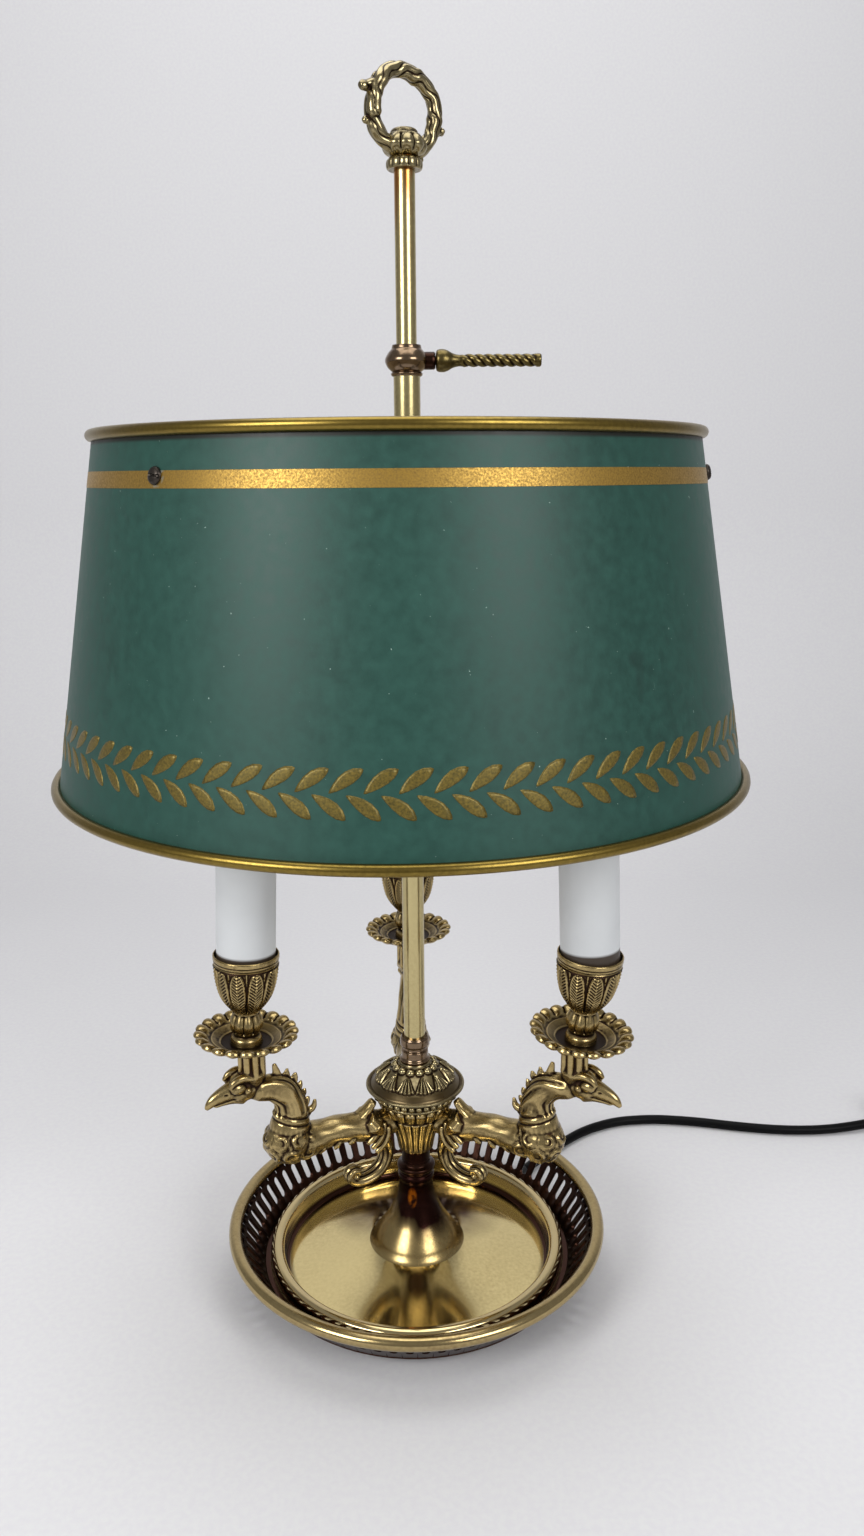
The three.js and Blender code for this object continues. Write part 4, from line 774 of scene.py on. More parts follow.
# %% Body, neck and head
body = limb(in_arm([(0.15, 0.09, 0.1), (0.3, 0.105, 0.118), (0.4, 0.13, 0.113), (0.5, 0.15, 0.11),
    (0.6, 0.145, 0.118), (0.7, 0.14, 0.14), (0.78, 0.16, 0.12)]), 28)
breast = ball((ARM_REACH * 0.79, 0, BREAST + 11.1), 11.1, (1.02, 0.95, 1), 15, 28)
neck = limb(in_arm([(0.785, 0.22, 0.155), (0.775, 0.3, 0.155), (0.768, 0.38, 0.14), (0.765, 0.46, 0.125),
    (0.78, 0.54, 0.112), (0.82, 0.615, 0.112), (0.88, 0.655, 0.1), (0.95, 0.665, 0.092)]), 24, 0.92)
head = ball((ARM_REACH * 1.03, 0, BREAST + ARM_DEPTH * 0.7), 6.3, (1.2, 0.84, 0.95), 13, 24)
crown = ball((ARM_REACH * 1.03, 0, BREAST + ARM_DEPTH * 0.775), 4.3, (1.35, 1.0, 0.9), 11, 20)
upper_beak = limb(in_arm([(1.06, 0.71, 0.085), (1.11, 0.7, 0.07), (1.165, 0.678, 0.054),
    (1.2, 0.655, 0.042), (1.222, 0.628, 0.03), (1.232, 0.612, 0.02)]), 16, 0.85)
lower_beak = limb(in_arm([(1.04, 0.645, 0.065), (1.09, 0.645, 0.046), (1.14, 0.636, 0.034),
    (1.185, 0.62, 0.022)]), 14, 0.95)
eyes = [ball((ARM_REACH * 1.073, side * 4.6, BREAST + ARM_DEPTH * 0.745), 2.5, (1.4, 0.8, 1.0))
    for side in (-1, 1)]
brow_line = in_arm([(1.115, 0.765, 0.018), (1.092, 0.8, 0.026), (1.05, 0.82, 0.03), (1.005, 0.805, 0.028),
                    (0.965, 0.765, 0.02)])
brows = [limb(brow_line, 10, aside=side * 4.4) for side in (-1, 1)]
ears = [ball((ARM_REACH * 1.02, side * 5.2, BREAST + ARM_DEPTH * 0.715), 1.5, (1, 0.7, 1))
    for side in (-1, 1)]
crest = []
for base, tip in (((0.835, 0.68, 0.05), (0.85, 0.825, 0.02)), ((0.8, 0.68, 0.045), (0.778, 0.765, 0.014)),
                  ((0.758, 0.65, 0.045), (0.732, 0.71, 0.014)), ((0.73, 0.59, 0.045), (0.7, 0.64, 0.014)),
                  ((0.71, 0.52, 0.045), (0.678, 0.565, 0.014)), ((0.7, 0.44, 0.045), (0.662, 0.485, 0.014))):
    middle = ((base[0] + tip[0]) / 2 - 0.004, (base[1] + tip[1]) / 2 - 0.004, base[2] * 0.72)
    crest.append(limb(in_arm([base, middle, tip]), 10, 0.6))
crest.append(limb(in_arm([(0.7, 0.37, 0.05), (0.66, 0.375, 0.036), (0.632, 0.405, 0.026),
    (0.624, 0.45, 0.014)]), 10, 0.8))
STUB_REACH, STUB_LOW = 82.3, BREAST + ARM_DEPTH * 0.8
stub_flutes = []
for a in (math.pi * i / 4 for i in range(8)):
    x, y = STUB_REACH + 5.0 * math.cos(a), 5.0 * math.sin(a)
    stub_flutes.append(limb([(x, STUB_LOW, 1.55), (x, 138.6, 1.55)], 10, aside=y, steps=3))
seat_line = [(STUB_REACH, STUB_LOW + up, radius) for up, radius in ((-6, 3.5), (0, 6.2), (1, 6.2))]
seat = [limb(seat_line, 24, steps=3)]
stub = [limb([(STUB_REACH, STUB_LOW, 4.9), (STUB_REACH, 137.2, 4.9)], 24, steps=4)]
print("bird limbs:", 12 + len(crest) + len(stub_flutes))

# %% Leaf, scroll and bracket
tail_line = [(0.3, 0.16, 0.09), (0.235, 0.04, 0.06), (0.195, -0.1, 0.046), (0.197, -0.2, 0.042),
    (0.232, -0.285, 0.04), (0.3, -0.34, 0.04), (0.378, -0.345, 0.038), (0.43, -0.3, 0.034),
    (0.415, -0.245, 0.03), (0.378, -0.25, 0.026), (0.378, -0.288, 0.022)]
tail = limb(in_arm(tail_line), 20, 2.0)
bracket = limb(in_arm([(0.36, 0.2, 0.05), (0.31, 0.25, 0.042), (0.275, 0.3, 0.035)]), 12, 1.3)
wraps = []
for back, low in ((0, 0), (0.026, 0.047), (0.052, 0.092)):
    wrap_line = in_arm([(0.265 - back, 0.2 - low, 0.02), (0.277 - back, 0.12 - low, 0.028),
                        (0.303 - back, 0.06 - low, 0.028), (0.34 - back, 0.02 - low, 0.02)])
    wraps += [limb(wrap_line, 10, aside=side * 6.7) for side in (-1, 1)]
curl = limb(in_arm([(0.396, -0.294, 0.028), (0.3961, -0.294, 0.028)]), 12, 3.1)
drops = []
for at in (0.43, 0.52, 0.61):
    drop_line = in_arm([(at - 0.022, 0.108, 0.01), (at - 0.004, 0.078, 0.026), (at + 0.016, 0.046, 0.014)])
    drops += [limb(drop_line, 10, aside=side * 5.3) for side in (-1, 1)]
print("tail stations:", len(tail_line))

# %% One bird skin, cast three times
bird_parts = [body, breast, neck, head, crown, upper_beak, lower_beak, tail, bracket, curl]
bird_parts += eyes + brows + ears + crest + wraps + drops + seat + stub + stub_flutes
first_bird = melted("bird_1", bird_parts, 0.42, cast_brass, 2)
skin = first_bird.data
places, normals = places_and_normals(skin)
reach, aside, height = places[:, 0] / ARM_REACH, places[:, 1], (places[:, 2] - BREAST) / ARM_DEPTH

def within(values, low, high, soft):
    """1 between two limits, falling to 0 over soft outside them."""
    return np.clip((values - low) / soft, 0, 1) * np.clip((high - values) / soft, 0, 1)

along = reach * ARM_REACH
barrel = within(reach, 0.3, 0.67, 0.04) * within(height, -0.1, 0.3, 0.03)
round_body = np.arctan2(aside, (height - 0.118) * ARM_DEPTH)
veins = np.cos(np.abs(round_body) * 5.5 + along * 0.55)
push = barrel * 0.1 * veins
neck_zone = within(height, 0.4, 0.75, 0.03) * within(reach, 0.6, 0.95, 0.03)
push += neck_zone * 0.3 * np.cos((aside + 9 * (height - 0.4) + 5 * (reach - 0.8)) * 2 * math.pi / 2.5)
collar_line = (height - 0.335 - (reach - 0.667) * 0.42) * ARM_DEPTH
beside = (np.abs(collar_line) - 1.8) / 0.7
collar_relief = 0.25 * np.exp(-(collar_line / 0.8) ** 2) - 0.35 * np.exp(-beside ** 2)
push += within(reach, 0.62, 0.93, 0.02) * collar_relief
tail_zone = within(height, -0.45, 0.12, 0.03) * within(reach, 0.1, 0.46, 0.01) * (np.abs(aside) < 5.6)
push += tail_zone * 0.4 * np.cos(aside * 2 * math.pi / 3.0) * within(height, -0.45, 0.0, 0.1)
beak_line = (height - 0.652 + (reach - 1.1) * 0.28) * ARM_DEPTH
push -= within(reach, 1.075, 1.2, 0.02) * 0.45 * np.exp(-(beak_line / 0.45) ** 2)
push -= within(reach, 1.12, 1.15, 0.012) * 0.35 * np.exp(-((height - 0.705) * ARM_DEPTH / 0.5) ** 2)

out = places - np.array([ARM_REACH * 0.79, 0, BREAST + 11.1])
out /= np.linalg.norm(out, axis=1, keepdims=True)
on_breast = within(reach, 0.66, 1.0, 0.02) * within(height, -0.1, 0.3, 0.03)
for tilt, count in ((20, 7), (-22, 7), (-56, 4)):
    for i in range(count):
        turn = 2 * math.pi * (i + 0.5 * (tilt == -22)) / count
        level, rise = math.cos(math.radians(tilt)), math.sin(math.radians(tilt))
        spot = np.array([math.cos(turn) * level, math.sin(turn) * level, rise])
        side_way = np.array([-math.sin(turn), math.cos(turn), 0])
        flat = np.stack([out @ side_way, out @ np.cross(spot, side_way)], axis=1) * 11.1
        apart = np.linalg.norm(flat, axis=1)
        near = (apart < 5) * (out @ spot > 0) * on_breast
        opening = np.cos(np.arctan2(flat[:, 1], flat[:, 0]) - 2.4 * i - tilt)
        rim_of_curl = 0.8 * np.exp(-((apart - 2.7) / 0.8) ** 2) * np.clip(0.6 - opening, 0, 1)
        eye_of_curl = 0.4 * (i % 3 == 0) * np.exp(-(apart / 0.9) ** 2)
        push += near * (rim_of_curl + eye_of_curl - 0.12)
places += normals * push[:, None]

def urn_radius(height_mm):
    """Outside radius of the urn with its slack, from the vase to the dome."""
    profile = np.vstack([vase_profile, bead_profile[1:-1], dome_profile[1:]])
    return np.interp(height_mm, profile[:, 1], profile[:, 0]) + 0.35

radial = np.hypot(places[:, 0], places[:, 1])
limit = np.where((places[:, 2] > 59.8) & (places[:, 2] < 113.3), urn_radius(places[:, 2]), 0)
grow = np.where(radial < limit, limit / np.maximum(radial, 0.01), 1)
places[:, :2] *= grow[:, None]
put_places(skin, places)
note_hollows(first_bird, 6, 0.45)
print("bird skin faces:", len(skin.polygons))

ARM_TURNS = (207, 331, 92)
birds = [first_bird]
for number in (2, 3):
    bird = bpy.data.objects.new("bird_%d" % number, skin)
    bpy.context.scene.collection.objects.link(bird)
    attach(bird, "base")
    birds.append(bird)
for bird, turn, number in zip(birds, ARM_TURNS, (1, 2, 3)):
    bird.matrix_world = Matrix.Rotation(math.radians(turn), 4, "Z")
    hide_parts("bird_arm_%d" % number)

# %% [markdown]
# ## Drip pans, cups and candle lights
#
# On each bird's head stands a pan with a lobed edge, a cup of broad leaves, and a white
# sleeve that looks like a candle and hides the lamp holder. They aren't quite upright: years of
# handling have leaned them a little. The pieces are made upright about the origin, then one
# matrix for each candle sets them in place.

# %% Where each candle stands
CUP_LEANS, SLEEVE_LEANS, STUB_TOP = (-2.5, 5, 0), (-2.7, -2.3, 0), 139.7

def lifted(mm):
    """A matrix that lifts by that many millimetres."""
    return Matrix.Translation((0, 0, mm * MM))

def candle_places(i):
    """Matrices of the pan, the cup and the light of candle i."""
    stand = (Matrix.Rotation(math.radians(ARM_TURNS[i]), 4, "Z")
             @ Matrix.Translation((ARM_REACH * MM, 0, STUB_TOP * MM))
             @ Matrix.Rotation(math.radians(CUP_LEANS[i]), 4, "Y"))
    pan = stand @ lifted(0.3 + 6.8 * math.sin(math.radians(abs(CUP_LEANS[i]))))
    cup = pan @ lifted(3.7)
    tilt = math.radians(SLEEVE_LEANS[i] - CUP_LEANS[i])
    light = cup @ lifted(37.6 + 0.3 + 13 * math.sin(abs(tilt))) @ Matrix.Rotation(tilt, 4, "Y")
    return pan, cup, light

def three_of(first, which, node):
    """The first piece, named with a 1, and two more that share its mesh, each at its candle."""
    for i in range(3):
        made = first if i == 0 else bpy.data.objects.new("%s_%d" % (first.name[:-2], i + 1), first.data)
        if i:
            bpy.context.scene.collection.objects.link(made)
            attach(made, "base")
        made.matrix_world = candle_places(i)[which]
        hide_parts("%s_%d" % (node, i + 1))

print("candle 1 stands at", [round(v / MM, 1) for v in candle_places(0)[0].translation])

# %% Pans
def pan_push(angle, along, r, z):
    """Twenty round lobes on the broad edge, and a plain floor."""
    edge = np.clip((r - 16.8) / 0.8, 0, 1)
    return edge * 1.7 * (bump_row(angle, 20, 0.55) - 1)

pan_profile = evenly(flowing(shares(23.3, 9.2, 0, [(0.28, 0), (0.42, 0.1), (0.7, 0.4), (0.9, 0.6),
    (0.985, 0.76), (1, 0.86), (0.975, 0.97)]), 6), 0.6)
pan_inside = evenly(flowing([(22.4, 9.15), (21.0, 9.2), (19.2, 8.7), (17.6, 7.6), (16.7, 6.4), (15.9, 6.0),
    (15.3, 6.2), (14.7, 5.9), (12.6, 4.6), (11.6, 4.2), (10.6, 3.6), (8, 3.4)], 4), 0.5)
pan = note_hollows(turned("pan_1", np.vstack([pan_profile, pan_inside]), cast_brass, 320, pan_push,
    sharp=60), 8)
three_of(pan, 0, "drip_pan")
print("pan faces:", len(pan.data.polygons))

# %% Leaf cups
def cup_push(angle, along, r, z):
    """Ten broad leaves with raised edges and slanting veins, darts between them, and a petalled stem."""
    leaf = np.abs(((angle * 10 / (2 * math.pi)) % 1) * 2 - 1)
    rise = (z - 15.8) / 21.6
    half = 0.94 * np.sqrt(np.clip(1 - np.clip(rise, 0, 1) ** 5.0, 0, 1)) * (rise > 0)
    inside = np.clip((half - leaf) / 0.09, 0, 1)
    border = np.exp(-((half - leaf - 0.16) / 0.07) ** 2)
    vein = 0.35 * np.exp(-(leaf / 0.07) ** 2)
    barbs = 0.26 * np.cos((z - leaf * 3.6) * 2 * math.pi / 1.6) * (leaf < half - 0.22)
    dart_width = 0.05 + 0.5 * np.clip(rise - 0.78, 0, 1)
    dart = 0.75 * np.clip(1 - np.abs(1 - leaf) / dart_width, 0, 1) * (rise > 0.78)
    bowl = (z > 15.2) & (z < 37.7)
    petals = (z > 5.5) * (z < 14.4) * (bump_row(angle, 9, 0.6) - 1) * 1.1
    leaves = inside * (0.8 + 0.3 * border + vein + barbs) + dart * (1 - inside) - 1.0
    return np.where(bowl, leaves, 0) + petals

cup_profile = flowing(shares(14.6, 42.1, 0, [(0.5, 0), (0.46, 0.06), (0.38, 0.1), (0.5, 0.17), (0.5, 0.25),
    (0.4, 0.345), (0.42, 0.36), (0.52, 0.404), (0.68, 0.475), (0.81, 0.556), (0.9, 0.665), (0.95, 0.774),
    (0.975, 0.89)]), 8)
cup_profile = evenly(np.vstack([cup_profile, [(14.2, 37.7), (13.8, 38.2), (14.3, 38.7), (14.4, 39.3),
    (14.2, 39.7), (14.6, 40.2), (14.6, 41.7), (14.3, 42.1), (14.05, 42.1), (13.8, 41.6), (13.8, 37.6),
    (11.5, 37.6)]]), 0.36)
cup = note_hollows(turned("cup_1", cup_profile, cast_brass, 288, cup_push, sharp=55))
three_of(cup, 1, "candle_cup")
print("cup faces:", len(cup.data.polygons))

# %% [markdown]
# ## Plain finishes
#
# The rest of the lamp is not brass: moulded white sleeves, black plastic, glass, painted sheet
# metal, felt and iron. Each gets its own faint unevenness, because nothing real is one flat
# colour.

# %% Plastics, glass, felt and iron
def moulded(name, light_hex, dark_hex, rough, patch=6, bump=0.1):
    """A moulded plastic with faint mottling."""
    made, tree, shader = blank(name)
    mottle = ramp(tree, grain(tree, patch, 4), 0.35, 0.7)
    tree.links.new(blend_colours(tree, mottle, paint(light_hex), paint(dark_hex)),
        shader.inputs["Base Color"])
    shader.inputs["Roughness"].default_value = rough
    shader.inputs["IOR"].default_value = 1.5
    relief(tree, shader, grain(tree, 0.4, 2), bump, 0.03)
    return made

candle_plastic = moulded("candle_plastic", "#d3d6d8", "#cbced0", 0.42, 14)
tree = candle_plastic.node_tree
# Painted shadow: the foot of each sleeve, where it stands down in the cup, is painted dark brown.
stain_and_painted_light(candle_plastic, ramp(tree, height_in(tree), 0.0062, 0.0050), "#3a2f24")
black_plastic = moulded("black_plastic", "#16181a", "#1e2022", 0.42, 5)
cord_plastic = moulded("cord_plastic", "#020203", "#050506", 0.45, 4, 0.2)
cord_plastic.node_tree.nodes["Principled BSDF"].inputs["Specular IOR Level"].default_value = 0.12
felt = moulded("wool_felt", "#2f4d3c", "#243c2f", 0.95, 1.2, 1.0)
cast_iron = moulded("cast_iron", "#2d2d2e", "#221f1d", 0.8, 3, 0.8)
zinc_steel = brass("zinc_plated_steel", "#a6a7a4", "#7d7c78", 0.35, patch=6)
dark_steel = brass("blackened_steel", "#4a443f", "#241f1b", 0.38, patch=5)

bulb_glass, tree, shader = blank("clear_glass")
shader.inputs["Base Color"].default_value = paint("#f6f8f9")
shader.inputs["Transmission Weight"].default_value = 1
shader.inputs["IOR"].default_value = 1.5
tree.links.new(add(tree, "ShaderNodeMapRange", {0: grain(tree, 8, 3)}, {3: 0.02, 4: 0.05}).outputs[0],
    shader.inputs["Roughness"])
print("plain finishes made")

# %% Sleeves and bulbs
sleeve_profile = evenly(np.array([(13, 0), (13, 84.3), (12.7, 84.9), (12.3, 84.9), (12, 84.5), (12, 0.4),
    (12.3, 0)]), 6)
sleeve = turned("sleeve_1", sleeve_profile, candle_plastic, 96, closed=True, sharp=50)
three_of(sleeve, 2, "candle_sleeve")

bulb_outer = flowing(shares(17.5, 76, 81.6, [(0.395, 0), (0.41, 0.06), (0.9, 0.27), (1, 0.42), (0.87, 0.62),
    (0.46, 0.86), (0.2, 0.95), (0.03, 0.995)]), 8)
bulb_inner = [(max(r - 1, 0.4), z - (0.3 if i else 0)) for i, (r, z) in enumerate(bulb_outer)][::-1]
bulb = turned("bulb_1", np.vstack([bulb_outer, bulb_inner]), bulb_glass, 64, closed=True, sharp=60)
three_of(bulb, 2, "bulb_glass")
cap_profile = evenly(np.array([(3, 63.4), (4.5, 63.4), (7.1, 66.3), (7.1, 81.2), (6.6, 81.3), (5.6, 81.4),
    (5.6, 84.2)]), 0.4)

def cap_push(angle, along, r, z):
    """A screw thread rolled in the cap's sheet, 3.6 mm from turn to turn."""
    return 0.35 * np.cos(angle - z * 2 * math.pi / 3.6) * (z > 67) * (z < 80) - 0.35

cap = turned("bulb_cap_turned_1", cap_profile, zinc_steel, 64, cap_push, sharp=60)
three_of(cap, 2, "bulb_cap")

def refinish(node, material):
    """Gives a solid that keeps its own shape its finish."""
    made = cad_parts[node]
    made.data.materials.clear()
    made.data.materials.append(material)

for node, material in (("lamp_socket_1", black_plastic), ("lamp_socket_2", black_plastic),
                       ("lamp_socket_3", black_plastic), ("base_weight", cast_iron),
                       ("rod_nut", zinc_steel), ("threaded_rod", zinc_steel)):
    refinish(node, material)
felt_pad = turned("felt_pad", evenly(np.array([(3, 0), (66.0, 0), (66.4, 0.4), (66.4, 1.3), (66.0, 1.6),
    (3, 1.6)]), 4), felt, 180, sharp=40)
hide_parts("base_felt")
print("sleeve height:", 85, "bulb faces:", len(bulb.data.polygons))

# %% [markdown]
# ## The sliding part
#
# A short tube slides on the rod. A ball collar near its top holds a key with a handle twisted
# like rope: tightened, it clamps the shade at any height. The shade rests on the tube by a
# steel spider that hides inside.

# %% Carrier tube, ball and ring nut
carrier_profile = evenly(np.array([(4.6, 372.5), (5.4, 372.5), (5.64, 372.8), (5.64, 385.3), (8.1, 385.3),
    (8.4, 385.6), (8.4, 387.0), (8.1, 387.3), (5.64, 387.3), (5.64, 440.7), (5.4, 441), (4.6, 441)]), 6)
carrier = turned("carrier_turned", carrier_profile, tube_brass, 64, closed=True, body="carrier", sharp=40)
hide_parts("carrier_tube")

ball_profile = flowing(shares(9.1, 12.4, 429.3, [(0.68, 0), (0.72, 0.03), (0.74, 0.08), (0.7, 0.12),
    (0.68, 0.14), (0.86, 0.26), (0.97, 0.4), (1, 0.5), (0.97, 0.6), (0.88, 0.72), (0.8, 0.8), (0.7, 0.88),
    (0.68, 0.94), (0.66, 1)]), 6)
ball_profile = np.vstack([[(5.94, 429.3)], ball_profile, [(5.94, 441.7)]])
boss_profile = np.array([(2.1, 6.5), (3.6, 6.5), (3.6, 11.4), (3.1, 12), (2.1, 12)])
collar_ball = turned("ball_turned", ball_profile, ball_brass, 96, closed=True, body="carrier", sharp=35)
boss = turned("ball_boss", evenly(boss_profile, 1), tarnished_brass, 48, closed=True, body="carrier",
    sharp=40)
to_side = Matrix.Translation((0, 0, 435.5 * MM)) @ Matrix.Rotation(math.pi / 2, 4, "Y")
boss.data.transform(to_side)
for made in (collar_ball, boss):
    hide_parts("ball_collar")

def nut_push(angle, along, r, z):
    """Forty notches round the ring nut, for the fingers."""
    return -0.25 * (np.cos(angle * 40) > 0.2) * (r > 8.5)

nut_profile = [(5.94, 375.7), (8.4, 375.7), (8.8, 376.1), (8.8, 379.3), (8.4, 379.7), (5.94, 379.7)]
ring_nut_turned = turned("ring_nut_turned", evenly(np.array(nut_profile), 0.5), tarnished_brass, 120,
                         nut_push, closed=True, body="carrier", sharp=40)
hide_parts("ring_nut")
print("carrier length:", 441 - 372.5)

# %% Clamp key
key_head = flowing([(1.8, 12.2), (3.4, 12.3), (4.3, 12.9), (4.6, 14.2), (4.55, 15.8), (4.0, 17.4),
    (3.1, 19.0), (2.6, 20.4), (2.35, 21.8), (2.3, 22.6)], 5)
key_profile = np.vstack([[(1.7, 4.8), (1.8, 5.0)], key_head, evenly(np.array([(2.4, 23.4), (2.4, 54.0),
    (2.7, 54.6), (2.7, 55.9), (2.3, 56.5)]), 0.5)])

def rope_push(angle, along, r, z):
    """Three strands laid round the handle."""
    on_handle = (z > 23.6) * (z < 54.2)
    return on_handle * 0.42 * (np.abs(np.cos((angle - z * 2 * math.pi / 12.0) * 1.5)) * 1.6 - 1.0)

key = note_hollows(turned("key_twisted", key_profile, key_brass, 72, rope_push, body="key", sharp=60))
key.data.transform(to_side)
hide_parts("clamp_key")
print("key faces:", len(key.data.polygons))

# %% [markdown]
# ## The finial
#
# On top stands a small bouquet holder: a scalloped collar, a lobed boss and a branch bent into a
# ring, with the stumps of four cut twigs. The branch is melted together like the birds.

# %% Finial
def collar_push(angle, along, r, z):
    """Twelve scallops round the collar."""
    return 0.5 * (bump_row(angle, 12, 0.7) - 1) * (z > 508.8)

def boss_push(angle, along, r, z):
    """Nine lobes that fade at the boss's ends."""
    ends = np.clip((z - 513.6) / 1, 0, 1) * np.clip((521.4 - z) / 0.6, 0, 1)
    return 1.1 * (bump_row(angle, 9, 0.6) - 1) * ends

scallop_line = [(5.8, 508.5), (6.9, 508.6), (7.4, 509.6), (7.4, 511.4), (6.7, 512.6), (5.6, 513.1)]
finial_collar = turned("finial_collar_scalloped", evenly(flowing(scallop_line, 4), 0.3), antique_brass, 144,
                       collar_push, sharp=50)
note_hollows(finial_collar)
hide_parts("finial_collar")

boss_line = evenly(flowing(shares(9.2, 10.4, 513.4, [(0.62, 0), (0.86, 0.12), (0.99, 0.28), (1, 0.42),
    (0.88, 0.62), (0.72, 0.76), (0.62, 0.82), (0.6, 0.88), (0.5, 0.97), (0.3, 1)]), 6), 0.3)
finial_boss = note_hollows(turned("finial_boss", boss_line, antique_brass, 216, boss_push, sharp=55))

RING_MIDDLE, RING_RADIUS, RING_TURN = 529.9, 14.9, 33

def on_ring(turn, radius, aside=0):
    """A point of the ring's plane, turn in degrees, radius from its middle."""
    a = math.radians(turn)
    return (radius * math.cos(a), aside, RING_MIDDLE + radius * math.sin(a))

def branch_limb(start, end, thick, thin, drift):
    """A length of the bent branch from start to end. It grows thinner and drifts aside."""
    stations = []
    for i in range(45):
        share = i / 44
        turn = start + (end - start) * share
        knot = 1 + 0.13 * max(0, math.cos(math.radians(turn * 5 + 20))) ** 6
        x, y, z = on_ring(turn, RING_RADIUS + 0.35 * math.sin(math.radians(turn * 4)), drift * share)
        stations.append((x, z, (thick + (thin - thick) * share) * knot, y))
    return stations

branch_parts = [limb(branch_limb(264, -84, 3.05, 2.9, 0.0), 16, steps=2),
                limb(branch_limb(84, 190, 2.6, 2.7, -2.1), 16, steps=2)]
for turn, reach, thick, lean in ((147, 20.0, 2.1, 14), (208, 18.8, 1.5, -12),
                                 (-24, 19.2, 1.7, 10), (-58, 18.6, 1.5, -8)):
    twig = []
    for share, wide in ((0.1, 1.25), (0.4, 1), (0.75, 0.85), (0.9, 1.05), (1, 0.95)):
        x, y, z = on_ring(turn + lean * share, RING_RADIUS + (reach - RING_RADIUS) * share)
        twig.append((x, z, thick * wide, y))
    branch_parts.append(limb(twig, 12, steps=4))
branch = melted("finial_branch", branch_parts, 0.33, antique_brass)
bark = branch.data
places, normals = places_and_normals(bark)
around = np.arctan2(places[:, 2] - RING_MIDDLE, places[:, 0])
tube_turn = np.arctan2(places[:, 1], np.hypot(places[:, 0], places[:, 2] - RING_MIDDLE) - RING_RADIUS)
furrow = np.abs(np.cos(2.5 * tube_turn + 4.5 * around + 0.6 * np.sin(11 * around)))
places += normals * (0.5 * furrow - 0.3)[:, None]
put_places(bark, places)
note_hollows(branch, 6, 0.45)
branch.data.transform(Matrix.Rotation(math.radians(RING_TURN), 4, "Z"))
for made in (finial_boss, branch):
    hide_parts("finial_ring")
print("finial top:", round(places[:, 2].max(), 1))

# %% [markdown]
# ## The shade
#
# Bouillotte shades are tole: thin sheet metal, painted. This one is deep green with a gilt band
# below the upper rim and two rows of gilt leaves above the lower one. Satin oil paint on metal
# shows small chips, dust specks and fine scratches, so the green is mixed from several scales.

# %% Paint finishes
SHADE_ASIDE, SHADE_SLOPE, SCREW_HEIGHT, SCREW_TURNS = -3.8, 0.16527, 389.3, (109.6, 229.6, 349.6)
tole_paint, tree, shader = blank("tole_green_paint")
cloud = ramp(tree, grain(tree, 45, 5), 0.3, 0.7)
green = blend_colours(tree, cloud, paint("#1f463d"), paint("#193b33"))
fine = ramp(tree, grain(tree, 2.2, 5), 0.3, 0.8)
green = blend_colours(tree, fine, green, paint("#244e44"))
speck = ramp(tree, grain(tree, 0.8, 2), 0.765, 0.785)
green = blend_colours(tree, speck, green, paint("#8ba59b"))
scratch = both(tree, ramp(tree, grain(tree, 2.5, 2, (1, 1, 0.05)), 0.72, 0.75),
    ramp(tree, grain(tree, 30, 2), 0.5, 0.55))
green = blend_colours(tree, scratch, green, paint("#5f8077"))
smudge = both(tree, near_place(tree, (80, -111.3, 326), (5, 5, 4)),
              near_place(tree, (81, -110.6, 318), (2.6, 4, 12)), "MAXIMUM")
# Painted shade: a near-black line along the top of the sheet, just under the top rim.
painted_shade_under_rim = ramp(tree, height_in(tree), 0.4008, 0.4018)
smudge = both(tree, smudge, ramp(tree, grain(tree, 4, 3), 0.2, 0.9))
green = blend_colours(tree, smudge, green, paint("#16302a"))
green = blend_colours(tree, painted_shade_under_rim, green, paint("#12160f"))
tree.links.new(green, shader.inputs["Base Color"])
tree.links.new(add(tree, "ShaderNodeMapRange", {0: fine}, {3: 0.42, 4: 0.5}).outputs[0],
    shader.inputs["Roughness"])
shader.inputs["Specular IOR Level"].default_value = 0.36
relief(tree, shader, grain(tree, 1.2, 4), 0.3, 0.05)

inside_paint = moulded("pale_inside_paint", "#cfc6b0", "#bdb294", 0.5, 20)

gilt_paint, tree, shader = blank("gilt_paint")
shader.inputs["Metallic"].default_value = 0.7
flake = ramp(tree, grain(tree, 0.35, 4), 0.3, 0.75)
gold = blend_colours(tree, flake, paint("#b08c3f"), paint("#7e6430"))
worn = both(tree, ramp(tree, grain(tree, 1.2, 2), 0.7, 0.74), ramp(tree, grain(tree, 14, 2), 0.5, 0.55))
gold = blend_colours(tree, worn, gold, paint("#3a3420"))
screw_turn = math.radians(SCREW_TURNS[1])
screw_place = (SHADE_ASIDE + 128.5 * math.cos(screw_turn), 128.5 * math.sin(screw_turn), SCREW_HEIGHT)
chip = both(tree, near_place(tree, screw_place, (5, 5, 4.4)), ramp(tree, grain(tree, 1.2, 3), 0.46, 0.52))
gold = blend_colours(tree, chip, gold, paint("#aab4ae"))
tree.links.new(gold, shader.inputs["Base Color"])
tree.links.new(add(tree, "ShaderNodeMapRange", {0: flake}, {3: 0.32, 4: 0.55}).outputs[0],
    shader.inputs["Roughness"])
relief(tree, shader, flake, 0.4, 0.05)

rim_gilt = brass("rim_gilt", "#8a7538", "#3f3218", 0.28, patch=30, spread=0.7, bump=0.5)
leaf_gilt, tree, shader = blank("leaf_gilt")
shader.inputs["Metallic"].default_value = 0.45
flake = ramp(tree, grain(tree, 0.4, 4), 0.3, 0.75)
tree.links.new(blend_colours(tree, flake, paint("#7d6a2a"), paint("#453f1a")), shader.inputs["Base Color"])
shader.inputs["Roughness"].default_value = 0.42
relief(tree, shader, flake, 0.3, 0.04)
print("paints made")

# %% Drum
def shade_radius(height):
    """Outside of the sheet at a height above the table, in millimetres."""
    return 125.9 + (405 - height) * SHADE_SLOPE

